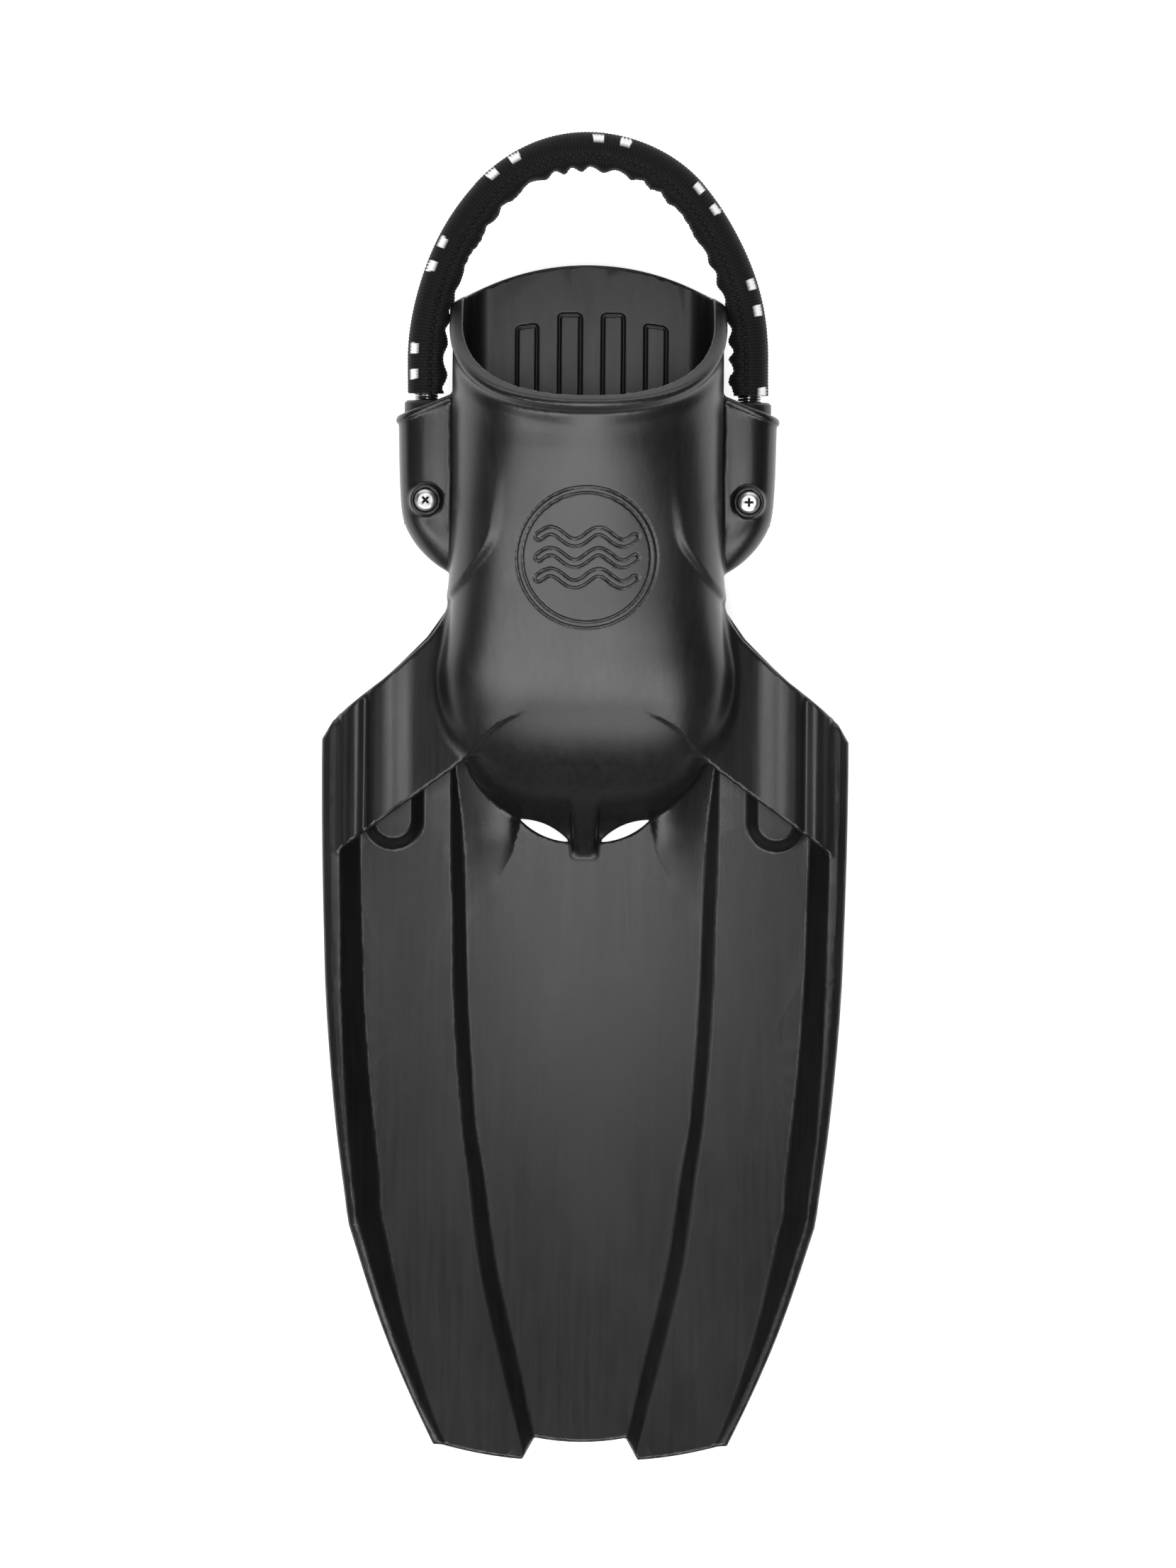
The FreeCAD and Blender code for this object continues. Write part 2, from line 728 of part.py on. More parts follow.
def spring_stud(name, side):
    """Brass stud at the bottom of the plug's hole: the spring's last turns are screwed onto it."""
    stud = body(f"{name}_spring_stud")
    profile = [
        ("0", "plug_bore_end_y"),
        ("stud_flange_radius - 0.05", "plug_bore_end_y"),
        ("stud_flange_radius - 0.05", "plug_bore_end_y + stud_flange"),
        ("stud_radius", "plug_bore_end_y + stud_flange"),
        ("stud_radius", "stud_end_y - 1"),
        ("stud_radius - 1", "stud_end_y"),
        ("0", "stud_end_y"),
    ]
    revolve(stud, draw(stud, f"{name}_stud_profile", "XY_Plane", profile))
    place(stud, across(side)("ear_x"), "0", "ear_z")
    return stud


# ---------------------------------------------------------------- heel strap

def strap_path(owner, name, start):
    """Legs out of the sockets, joined by an arch of three arcs that meet smoothly."""
    path = [
        ("ear_x", start),
        ("ear_x", "strap_straight_y"),
        ("strap_joint_x", "strap_joint_y", "strap_side_radius", -1),
        ("- strap_joint_x", "strap_joint_y", "strap_top_radius", -1),
        ("- ear_x", "strap_straight_y", "strap_side_radius", -1),
        ("- ear_x", start),
    ]
    return draw(owner, f"{name}_path", "XY_Plane", path, closed=False)


def swept(owner, section, path):
    pipe = owner.newObject("PartDesign::AdditivePipe", f"{owner.Name}_sweep")
    pipe.Profile = section
    pipe.Spine = (path, [f"Edge{number + 1}" for number in range(5)])


def heel_spring():
    """The close-wound coil, as a tube of its outer and inner diameters."""
    spring = body("heel_spring")
    path = strap_path(spring, "spring", "spring_start_y")
    start = "- spring_start_y"
    section = circle(spring, "spring_section", "XZ_Plane", "spring_radius", "ear_x", lift=start)
    centre = App.Vector(SIZES["ear_x"], 0, 0)
    bore = section.addGeometry(Part.Circle(centre, App.Vector(0, 0, 1), SIZES["spring_inside"]))
    section.addConstraint(Sketcher.Constraint("Coincident", bore, 3, 0, 3))
    size = section.addConstraint(Sketcher.Constraint("Radius", bore, SIZES["spring_inside"]))
    section.renameConstraint(size, "inside")
    bind(section, Constraints__inside="spring_inside")
    swept(spring, section, path)
    place(spring, z="ear_z")
    return spring


def sleeve_tape(name, way, reach):
    """One of the two webbing tapes sewn together around the spring: a half tube."""
    tape = body(name)
    path = strap_path(tape, name, "sleeve_start_y")
    seam = "ear_x - seam_in"
    edge = f"{seam} {'+' if way > 0 else '-'} seam_gap"
    far = f"ear_x {'+' if way > 0 else '-'} {reach}"
    inner_far = f"{far} {'-' if way > 0 else '+'} sleeve_thick"
    section = [
        (edge, "sleeve_half_height"),
        (edge, "sleeve_half_height - sleeve_thick"),
        (inner_far, "3"),
        (inner_far, "- 3"),
        (edge, "- sleeve_half_height + sleeve_thick"),
        (edge, "- sleeve_half_height"),
        (far, "- 3.4"),
        (far, "3.4"),
    ]
    outline = draw(tape, f"{name}_section", "XZ_Plane", section, "- sleeve_start_y")
    swept(tape, outline, path)
    place(tape, z="ear_z")
    return tape


def seam_thread(name, way):
    """The sewing thread that joins the two tapes, above (way 1) or below (-1) the spring."""
    thread = body(name)
    path = strap_path(thread, name, "sleeve_start_y")
    height = "sleeve_half_height + thread_radius"
    section = circle(
        thread,
        f"{name}_section",
        "XZ_Plane",
        "thread_radius",
        "ear_x - seam_in",
        height if way > 0 else opposite(height),
        "- sleeve_start_y",
    )
    swept(thread, section, path)
    place(thread, z="ear_z")
    return thread


# ---------------------------------------------------------------- assembly

def build():
    pocket_piece, filled_pocket = foot_pocket()
    pieces = {"foot_pocket": pocket_piece, "blade": blade(filled_pocket)}
    for name, side in LEFT_AND_RIGHT:
        pieces[f"{name}_strap_plug"] = strap_plug(name, side)
        pieces[f"{name}_strap_screw"] = strap_screw(name, side)
        pieces[f"{name}_strap_nut"] = strap_nut(name, side)
        pieces[f"{name}_spring_stud"] = spring_stud(name, side)
    pieces["heel_spring"] = heel_spring()
    pieces["sleeve_outer_tape"] = sleeve_tape("sleeve_outer_tape", 1, "sleeve_out")
    pieces["sleeve_inner_tape"] = sleeve_tape("sleeve_inner_tape", -1, "sleeve_in")
    pieces["upper_seam_thread"] = seam_thread("upper_seam_thread", 1)
    pieces["lower_seam_thread"] = seam_thread("lower_seam_thread", -1)
    doc.recompute()
    for thing in doc.Objects:
        if {"Invalid", "Error"} & set(thing.State):
            raise ValueError(f"{thing.Name} failed: {thing.State}")
    for name, piece in pieces.items():
        piece.Label = name
        if piece.Shape.isNull() or not piece.Shape.isValid():
            raise ValueError(f"{name} has no valid shape")
    return pieces


def export(pieces):
    os.makedirs("parts", exist_ok=True)
    for name, piece in pieces.items():
        piece.Shape.exportStep(f"parts/{name}.step")
        box = piece.Shape.BoundBox
        print(
            f"{name}: {len(piece.Shape.Solids)} solid(s), {piece.Shape.Volume / 1000:.1f} cm3,"
            f" x {box.XMin:.1f}..{box.XMax:.1f} y {box.YMin:.1f}..{box.YMax:.1f}"
            f" z {box.ZMin:.1f}..{box.ZMax:.1f}"
        )


export(build())
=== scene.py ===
"""Looks of the open-heel swim fin: rubber moulding, coil spring, woven sleeve and fittings.

The moulding is worked out as a distance field in millimetres, meshed, and then scaled to metres. X runs
across the fin, +Y from the blade's tip to the heel and +Z up from the sole.
"""

import math

import bmesh
import bpy
import numpy as np
import openvdb
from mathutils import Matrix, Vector


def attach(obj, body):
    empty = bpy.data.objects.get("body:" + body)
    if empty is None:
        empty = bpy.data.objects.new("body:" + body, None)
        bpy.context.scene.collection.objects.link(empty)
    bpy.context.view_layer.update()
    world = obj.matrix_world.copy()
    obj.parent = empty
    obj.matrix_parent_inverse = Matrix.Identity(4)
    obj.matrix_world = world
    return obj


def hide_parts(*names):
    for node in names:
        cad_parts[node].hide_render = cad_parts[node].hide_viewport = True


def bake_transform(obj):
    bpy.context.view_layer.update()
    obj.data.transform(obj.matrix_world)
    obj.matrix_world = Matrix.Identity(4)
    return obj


MM = 0.001
FAR = 1e9
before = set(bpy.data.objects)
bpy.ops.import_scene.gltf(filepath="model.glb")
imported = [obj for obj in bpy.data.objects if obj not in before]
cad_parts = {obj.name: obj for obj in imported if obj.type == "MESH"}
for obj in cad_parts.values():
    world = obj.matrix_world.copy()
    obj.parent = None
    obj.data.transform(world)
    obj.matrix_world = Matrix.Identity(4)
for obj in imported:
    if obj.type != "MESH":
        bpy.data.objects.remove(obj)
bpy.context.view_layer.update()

CELL = 1.0
MESH_TRIANGLES = 150_000


# ---------------------------------------------------------------- field tools

def ramp(start, end, at):
    """0 before start, 1 after end, smooth between them."""
    share = np.clip((at - start) / (end - start), 0, 1)
    return share * share * (3 - 2 * share)


def lower(a, b, blend):
    """The lower of two fields, rounded over a width."""
    near = np.maximum(blend - np.abs(a - b), 0) / blend
    return np.minimum(a, b) - near * near * blend / 4


def higher(a, b, blend):
    """The higher of two fields, rounded over a width."""
    return -lower(-a, -b, blend)


def curve(*knots):
    """A smooth curve through (place, value) knots, given by rising place."""
    places, values = (np.array(column, float) for column in zip(*knots))
    slopes = np.gradient(values, places)
    spans = np.diff(places)
    chords = np.diff(values) / spans
    slopes[0], slopes[-1] = chords[0], chords[-1]

    def value(at):
        at = np.clip(at, places[0], places[-1])
        left = np.clip(np.searchsorted(places, at, side="right") - 1, 0, len(spans) - 1)
        t = (at - places[left]) / spans[left]
        bend = (slopes[left] - chords[left]) * (1 - t) - (slopes[left + 1] - chords[left]) * t
        return values[left] + (values[left + 1] - values[left]) * t + bend * t * (1 - t) * spans[left]

    return value


def line_distance(x, y, points):
    """Distance in plan to an open line through points."""
    nearest = FAR
    for (x0, y0), (x1, y1) in zip(points, points[1:]):
        run, rise = x1 - x0, y1 - y0
        along = np.clip(((x - x0) * run + (y - y0) * rise) / (run**2 + rise**2), 0, 1)
        nearest = np.minimum(nearest, (x - x0 - along * run) ** 2 + (y - y0 - along * rise) ** 2)
    return np.sqrt(nearest)


def outline_distance(x, y, corners):
    """Distance to a closed outline in plan, negative inside it."""
    closed = [*corners, corners[0]]
    inside = np.zeros(np.broadcast(x, y).shape, bool)
    for (x0, y0), (x1, y1) in zip(closed, closed[1:]):
        if y0 != y1:
            inside ^= ((y0 > y) != (y1 > y)) & (x < (x1 - x0) * (y - y0) / (y1 - y0) + x0)
    return np.where(inside, -1, 1) * line_distance(x, y, closed)


def oval_size(across, up, power):
    """1 on a squarish oval, less inside it, from shares of its two half widths."""
    return (across**power + up**power) ** (1 / power)


def radial_distance(across, up, size):
    """Distance to the place, straight out from the middle, where the size is 1."""
    return np.hypot(across, up) * (1 - 1 / (size + 1e-6))


PLAN_X, PLAN_Y, PLAN_PITCH = (-44, 126), (-300, 246), 0.5


def plan_map(distance):
    """The same plan distance, read off a fine grid that is worked out once."""
    x_lines = np.arange(*PLAN_X, PLAN_PITCH)
    y_lines = np.arange(*PLAN_Y, PLAN_PITCH)
    table = distance(x_lines[:, None], y_lines[None, :])

    def value(x, y):
        u = np.clip((x - x_lines[0]) / PLAN_PITCH, 0, len(x_lines) - 1.01)
        v = np.clip((y - y_lines[0]) / PLAN_PITCH, 0, len(y_lines) - 1.01)
        i, j = u.astype(int), v.astype(int)
        u, v = u - i, v - j
        low = table[i, j] * (1 - u) + table[i + 1, j] * u
        high = table[i, j + 1] * (1 - u) + table[i + 1, j + 1] * u
        return low * (1 - v) + high * v

    return value


def bow(start, end, rise, count=8):
    """Points from start to just before end on a shallow arc that bulges to the left by rise."""
    (x0, y0), (x1, y1) = start, end
    points = []
    for number in range(count):
        t = number / count
        lift = 4 * t * (1 - t) * rise / math.hypot(x1 - x0, y1 - y0)
        points.append((x0 + (x1 - x0) * t - (y1 - y0) * lift, y0 + (y1 - y0) * t + (x1 - x0) * lift))
    return points


# ---------------------------------------------------------------- foot pocket

WALL = 4.5
FOOTBED = 10.0
FOOTBED_FRONT = 9.0
TOE_END = -22.0
OPENING_TILT = math.radians(53.4)
OPENING_Y, OPENING_Z = 171.2, 98.0
HEEL_MIDDLE_Y, HEEL_RADIUS = 125.3, 108.0
UNDERSIDE_POWER = 3.2

pocket_half = curve(
    (-22, 1), (-19.5, 5), (-17, 14), (-13, 24), (-8, 32), (-1.7, 40), (5, 46.5), (13.8, 52),
    (25, 57.5), (38.6, 61.5), (53, 62.8), (69.6, 60.5), (88.8, 58.8), (131.6, 58.8), (174, 59.2),
    (240, 59),
)
pocket_top = curve(
    (-22, 6), (-17, 9), (-11, 14), (-1.7, 28), (13.8, 42), (38.6, 55), (69.6, 66), (100.6, 75),
    (131.6, 84), (150, 89.5), (162.6, 93), (174.4, 98), (240, 98),
)
pocket_middle = curve(
    (-22, 4), (-11, 8), (-1.7, 13), (13.8, 20.5), (38.6, 28), (69.6, 34.5), (100.6, 40),
    (131.6, 44), (174.4, 48), (240, 48),
)


def oval(x, y, z, half, top, middle):
    """Distance to a squarish oval section whose lower half is flatter than its upper half."""
    power = 2.6 - 0.4 * ramp(110, 165, y)
    up = z - middle
    above = np.maximum(up, 0) / (top - middle)
    below = np.maximum(-up, 0) / (1.2 * middle)
    across = np.abs(x) / half
    upper = oval_size(across, above, power)
    under = oval_size(across, below, UNDERSIDE_POWER)
    return radial_distance(x, up, np.where(up > 0, upper, under))


def rim_distance(y, z):
    """Distance behind the slanted plane of the foot opening."""
    return (y - OPENING_Y) * math.sin(OPENING_TILT) + (z - OPENING_Z) * math.cos(OPENING_TILT)


SADDLE_TOP = [(66, 80), (58.3, 88.8), (50, 99), (42.3, 110), (39.3, 124), (38, 146)]
SADDLE_FOOT = [(66, 5), (58.6, 11.3), (51.5, 17), (42.5, 27.4), (22.6, 38.9)]


saddle_top_line = curve(*[(along, across) for across, along in SADDLE_TOP])
saddle_foot_line = curve(*reversed(SADDLE_FOOT))


def saddle(x, y):
    """How far the band of the wings stands out of the pocket, between its two creases."""
    beside = (x - saddle_top_line(y)) * 0.8
    upper_band = ramp(-2.4, 2.0, beside) * np.exp(-np.maximum(beside, 0) / 16) * ramp(146, 104, y)
    above = (y - saddle_foot_line(x)) * 0.8
    lower_band = ramp(-0.8, 0.9, above) * np.exp(-np.maximum(above, 0) / 22)
    lower_band = lower_band * ramp(24, 46, x) * ramp(0, 14, y)
    return 2.2 * (upper_band * ramp(60, 96, y)) + 1.9 * lower_band


def pocket_skin(x, y, z):
    """The pocket's outside, trimmed at the foot opening and behind the heel."""
    behind = rim_distance(y, z)
    lip = 1.5 * np.exp(-(((behind + 1.6) / 2.6) ** 2)) - 0.9 * np.exp(-(((behind + 7.2) / 2.8) ** 2))
    lip = lip * ramp(14, 26, z) * ramp(90, 130, y)
    skin = oval(x, y, z, pocket_half(y), pocket_top(y), pocket_middle(y)) - lip
    skin = skin - saddle(x, y) * ramp(12, 26, z)
    skin = higher(skin, behind, 2.0)
    heel = np.hypot(x, np.maximum(y - HEEL_MIDDLE_Y, 0)) - HEEL_RADIUS
    skin = higher(skin, heel, 2.2)
    return np.maximum(skin, TOE_END - y)


def foot_room(x, y, z):
    """The hollow for the foot: flat over the footbed and rounded off at the toe."""
    share = np.clip((y - FOOTBED_FRONT) / 26, 0.02, 1)
    rounding = np.sqrt(1 - (1 - share) ** 2)
    middle = pocket_middle(y)
    half = np.maximum(pocket_half(y) - WALL, 1) * rounding
    top = middle + np.maximum(pocket_top(y) - WALL - middle, 1) * rounding
    room = oval(x, y, z, half, top, middle)
    room = higher(room, FOOTBED - z, 6)
    return np.maximum(room, FOOTBED_FRONT - y)


# ---------------------------------------------------------------- strap sockets

EAR_X, EAR_Z = 70.6, 32.0
EAR_FRONT = 94.0
EAR_POWER = 2.2
SCREW_Y = 129.1
RECESS_Z = 45.3
RING_RADIUS, SEAT_RADIUS = 6.8, 7.4
BORE_RADIUS, BORE_END, MOUTH_RADIUS = 9.9, 128.0, 11.2
HEAD_HOLE, HEAD_FLOOR, SHANK_HOLE = 5.2, 44.4, 2.9
NUT_TOP, NUT_HALF = 22.5, 4.3

ear_edge = curve(
    (94, 54), (96.9, 59), (100.6, 65.1), (106.8, 72.2), (113, 76.9), (119.2, 79.9), (125.4, 81.2),
    (131.6, 81.7), (159.5, 82.6), (176, 83),
)
ear_middle = curve(
    (94, 52), (100.6, 56.5), (106.8, 60), (113, 64), (119.2, 67.6), (126, 70.2), (132, 70.6),
    (176, 70.6),
)
ear_height = curve(
    (94, 1.5), (96.9, 3.6), (100.6, 5.8), (106.8, 8.6), (113, 10.6), (120, 11.9), (130, 12.4),
    (176, 12.6),
)


def socket_end(x, y):
    """Distance beyond the slanted plane that ends a socket."""
    return (x - 83.4) * 0.375 + (y - 165.9) * 0.927


def ear(x, y, z):
    """The outside of a strap socket, with a ring round its screw and a seat round its nut."""
    beyond = socket_end(x, y)
    lip = 1.1 * ramp(-3.9, -2.2, beyond)
    half, height = ear_edge(y) - ear_middle(y) + lip, ear_height(y) + lip
    across, up = x - ear_middle(y), z - EAR_Z
    across = np.where(across > 0, across, across * 0.4)
    size = oval_size(np.abs(across / half), np.abs(up / height), EAR_POWER)
    body = radial_distance(across, up, size)
    body = higher(np.maximum(body, EAR_FRONT - y), beyond, 1.6)
    around = np.hypot(x - EAR_X, y - SCREW_Y)
    ring = higher(around - RING_RADIUS, np.abs(z - 41) - 5.4, 1.2)
    seat = higher(around - SEAT_RADIUS, np.abs(z - 24) - 7.6, 1.2)
    return lower(lower(body, ring, 1.6), seat, 2)


def socket_hollows(x, y, z):
    """The bore and flared mouth for the plug, and the pockets for the screw and the nut."""
    across = np.hypot(x - EAR_X, z - EAR_Z)
    beyond = socket_end(x, y)
    bore = higher(across - BORE_RADIUS, BORE_END - y, 1)
    mouth = np.maximum((across - MOUTH_RADIUS) * 0.8 - beyond * 0.6, beyond - 3)
    around = np.hypot(x - EAR_X, y - SCREW_Y)
    head = higher(around - HEAD_HOLE, HEAD_FLOOR - z, 0.4)
    shank = np.maximum(around - SHANK_HOLE, z - 46)
    nut = z - NUT_TOP
    for turn in (0, 60, 120):
        way = math.radians(turn)
        flat = np.abs((x - EAR_X) * math.cos(way) + (y - SCREW_Y) * math.sin(way))
        nut = np.maximum(nut, flat - NUT_HALF)
    return np.minimum(np.minimum(bore, mouth), np.minimum(np.minimum(head, nut), shank))


# ---------------------------------------------------------------- wings

WING_EDGE = [
    (58.3, 88.8), (61.1, 82), (65.4, 75.8), (69.8, 69.6), (76, 63.4), (82.2, 57.2), (89, 51),
    (96.7, 44.8), (104.2, 38.6), (110.7, 32.4),
]
WING_FOOT = [(104.2, -21.9), (58.6, 11.3), (51.5, 17), (42.5, 27.4)]
wing_top = curve(
    (40, 36.5), (50, 35.8), (58, 34.6), (64, 33.4), (70, 32.3), (76, 31.4), (81, 31.6),
    (86, 32.2), (90, 32.1), (93, 31.5), (94.8, 30.2), (96.2, 29.1), (97.6, 29.5), (99.5, 30.3),
    (102.2, 30.2), (104.2, 29.0), (106.2, 27.4), (107.6, 26.8), (111.2, 26.6), (113, 25.4),
    (115.3, 22.6),
)
WING_THICK = 3.6
WING_PLAN = [*WING_EDGE[:-1], (107.5, 35.5), (107.5, -24.3), *WING_FOOT, (44, 60), (48, 88)]
wing_outline = plan_map(lambda x, y: outline_distance(x, y, WING_PLAN))


def wing(x, y, z):
    """The web over the water duct, from the pocket's side to the blade's rail."""
    inset = wing_outline(x, y) + 1.3 * ramp(100, 60, x) * ramp(20, 40, y)
    middle = wing_top(x) - WING_THICK / 2
    web = np.abs(z - middle) * 0.93 - WING_THICK / 2
    return higher(web, inset, 1.6)


# ---------------------------------------------------------------- blade

blade_half = curve(
    (-284.4, 64.4), (-271.4, 70.7), (-259, 76.4), (-240.4, 84.3), (-228, 89), (-209.4, 95.3),
    (-197, 99.2), (-186.6, 102.4), (-178.4, 103.5), (-147.4, 107.7), (-116.4, 110.8),
    (-85.4, 113), (-54, 114.1), (-23.4, 114.9), (0, 115.2), (90, 115.3),
)
step_crest = curve(
    (-300, 21), (-281, 26), (-250, 34.1), (-206, 44.3), (-163, 49.9), (-147, 52.1), (-116, 54.9),
    (-85, 56.7), (-54, 57.4), (-10, 58.6), (12.2, 58.6), (90, 58.6),
)
step_foot = curve(
    (-300, 15.5), (-281, 20.5), (-250, 27.3), (-206, 37.5), (-163, 44), (-147, 46.8),
    (-116, 49.3), (-85, 51.2), (-54, 52.1), (-10, 54.2), (12.2, 57), (90, 57),
)
rail_top = curve(
    (-291, 12.4), (-284, 13), (-240, 17), (-186, 22), (-163, 23.5), (-120, 25), (-60, 26),
    (90, 26),
)
rail_flat = curve(
    (-291, 2), (-284, 2), (-250, 3), (-206, 3.8), (-163, 4.8), (-85, 7.3), (90, 7.3),
)
rail_foot = curve(
    (-291, 4.4), (-284, 4.6), (-250, 7.8), (-206, 12.1), (-163, 15.8), (-120, 16), (90, 16),
)
rail_under = curve((-291, 4.5), (-240, 8), (-186, 11), (90, 11))

TIP_Y = -290.6
BLADE_LENGTH = 290.0
CHANNEL_TOP, PANEL_TOP, BLADE_UNDER = 8.0, 12.9, 3.5
CHAMFER_START, CHAMFER_RUN = 3.6, 3.2
BOSS_X, BOSS_Y, BOSS_RADIUS, BOSS_HEIGHT = 84.0, -10.4, 13.0, 8.2


def blade_plan():
    """The blade's right half in plan, closed off a little to the left of the middle."""
    side = [(float(blade_half(y)), y) for y in np.arange(-284.4, 20, 6.0)]
    tip = [
        *bow((-20, -281.3), (20, -281.3), -1.9),
        (20, -281.3),
        *bow((25.3, TIP_Y), (60.9, -284.4), -0.9),
        (60.9, -284.4),
    ]
    return [*tip, *side, (115.3, 24.6), *reversed(WING_EDGE), (20, 100), (-20, 100)]


blade_outline = plan_map(lambda x, y: outline_distance(x, y, blade_plan()))


fairing_crease = curve((-60, 40), (-38.9, 37.8), (-24, 31.6), (-9.9, 28.5), (20, 28))
fairing_height = curve((-60, 0), (-42, 0), (-30, 0.9), (-20, 2.4), (-10, 5.5), (20, 16))


def fairing(x, y):
    """The toe's flank, which ends at a crease beside the middle channel."""
    beside = np.maximum(x - fairing_crease(y), 0)
    return fairing_height(y) * (1 - np.exp(-beside / 3.6)) * np.exp(-((beside / 17) ** 2)) * (y < 20)


def blade_top(x, y):
    """Height of the upper face: channel, step, side panel, edge rail and the boss in the duct."""
    toward_tip = np.clip(-y / BLADE_LENGTH, 0, 1)
    channel = CHANNEL_TOP - 1.5 * toward_tip + 0.9 * (1 - (x / 55) ** 2) + fairing(x, y)
    panel = PANEL_TOP - toward_tip - 0.035 * (x - 60)
    crest, foot = step_crest(y), step_foot(y)
    step = channel + (x - foot) / (crest - foot) * (panel - channel)
    top = higher(channel, lower(panel, step, 0.9), 0.7)
    from_edge = (blade_half(y) - x) * (0.995 - 0.065 * ramp(-180, -192, y))
    high, flat, foot = rail_top(y), rail_flat(y), rail_foot(y)
    inner = panel + np.maximum(high - panel, 3.0) * (foot - from_edge) / (foot - flat)
    chamfer = 1.2 * ramp(-290, -150, y) + 0.8
    chamfer = chamfer * np.clip((CHAMFER_START - from_edge) / CHAMFER_RUN, 0, 1)
    rail = lower(high, inner, 1.2) - chamfer
    rail = rail - (high - panel) * ramp(30, 52, y)
    top = higher(top, rail, 1.2)
    boss = np.hypot(x - BOSS_X, np.maximum(BOSS_Y - y, 0)) - BOSS_RADIUS
    return top + BOSS_HEIGHT * ramp(0.8, -5.4, boss) * ramp(60, 36, y)


def blade_bottom(x, y):
    """Height of the under face, which is hollowed below the panels but not below the rails."""
    toward_tip = np.clip(-y / BLADE_LENGTH, 0, 1)
    crest = step_crest(y)
    under = BLADE_UNDER - toward_tip + 4.0 * ramp(crest + 1, crest + 6.5, x)
    from_edge = blade_half(y) - x
    width = rail_under(y)
    return under * ramp(width - 1.5, width + 4.5, from_edge)


def blade(x, y, z):
    """The blade's plate between its two faces, cut to its outline."""
    slab = higher(z - blade_top(x, y), blade_bottom(x, y) - z, 0.8)
    return higher(slab * 0.9, blade_outline(x, y), 1.4)


# Middle and radius of the two arcs that bound a drain eye.
EYE_TOE_ARC = (28.4, -38.9, 29.0)
EYE_BLADE_ARC = (5.07, 12.75, 32.6)


def circle_distance(x, y, circle):
    """Distance in plan to a circle, negative inside it."""
    middle_x, middle_y, radius = circle
    return np.hypot(x - middle_x, y - middle_y) - radius


def drain_eye(x, y):
    """The slim eye between the toe's arc and the blade's arc."""
    return higher(circle_distance(x, y, EYE_TOE_ARC), circle_distance(x, y, EYE_BLADE_ARC), 0.5)


RIDGE_Y, RIDGE_Z, RIDGE_RISE = -26.5, 8.8, 0.78
RIDGE_HALF, RIDGE_LENGTH = 4.4, 32.0


def toe_ridge(x, y, z):
    """The short ridge that runs down the toe and ends as a tongue between the two drain eyes."""
    back = y - RIDGE_Y
    top = (z - RIDGE_Z - RIDGE_RISE * back) * 0.79
    side = x - RIDGE_HALF - 0.1 * back
    return np.maximum(higher(higher(top, side, 3.0), -back, 3.0), back - RIDGE_LENGTH)


# ---------------------------------------------------------------- the whole moulding

TREAD_PITCH, TREAD_DEPTH = 10.0, 1.3


def sole_tread(x, y):
    """Shallow cross grooves under the foot, for grip."""
    bar = ramp(0.25, 0.75, 0.5 + 0.5 * np.cos(y * 2 * math.pi / TREAD_PITCH))
    return TREAD_DEPTH * (1 - bar) * ramp(38, 36, x) * ramp(36, 42, y) * ramp(212, 206, y)


def moulding(x, y, z):
    """Distance to the rubber's surface, negative inside the rubber."""
    x = np.abs(x)
    solid = pocket_skin(x, y, z)
    solid = lower(solid, ear(x, y, z), 1.6)
    solid = lower(solid, wing(x, y, z), 6)
    blade_part = lower(blade(x, y, z), np.maximum(toe_ridge(x, y, z), 3 - z), 2.4)
    solid = lower(solid, blade_part, 2.0)
    solid = higher(solid, -foot_room(x, y, z), 0.8)
    solid = higher(solid, -socket_hollows(x, y, z), 0.5)
    solid = higher(solid, -drain_eye(x, y), 1.0)
    return higher(solid, sole_tread(x, y) - z, 1.0)


# ---------------------------------------------------------------- engraved lines

EMBLEM_Y = 104.0
EMBLEM_RINGS = (30.6, 28.0)
WAVE_HALF = 1.6
EMBLEM_DEPTH, PAD_DEPTH = 0.45, 0.6


def wave(height):
    """The middle line of one of the emblem's generic waves."""
    return [(x, height + 2.6 * math.sin(x * 2 * math.pi / 21)) for x in np.arange(-21, 21.1, 0.75)]


@plan_map
def emblem_lines(x, y):
    """Distance in plan to the emblem's ring and to the three waves inside it."""
    y = y - EMBLEM_Y
    nearest = FAR
    for radius in EMBLEM_RINGS:
        nearest = np.minimum(nearest, np.abs(np.hypot(x, y) - radius))
    for height in (-9, 0, 9):
        nearest = np.minimum(nearest, np.abs(line_distance(x, y, wave(height)) - WAVE_HALF))
    return nearest


# Each raised pad of the footbed: middle, half width, end nearest the heel, and that end's slant.
FOOTBED_PADS = (
    (-26.9, 4.3, 206.4, 0.14),
    (-8.1, 4.6, 211.6, 0),
    (10.9, 4.5, 211.6, 0),
    (29.6, 4.5, 206.6, -0.14),
)
PAD_FRONT = 118.0
PAD_CORNER = 1.5


@plan_map
def pad_lines(x, y):
    """Distance in plan to the outlines of the footbed's four raised pads."""
    nearest = FAR
    for middle, half, end, slant in FOOTBED_PADS:
        back = end + slant * (x - middle)
        across = np.abs(x - middle) - half + PAD_CORNER
        along = np.abs(y - (back + PAD_FRONT) / 2) - (back - PAD_FRONT) / 2 + PAD_CORNER
        corner = np.hypot(np.maximum(across, 0), np.maximum(along, 0))
        pad = corner + np.minimum(np.maximum(across, along), 0) - PAD_CORNER
        nearest = np.minimum(nearest, np.abs(pad))
    return nearest


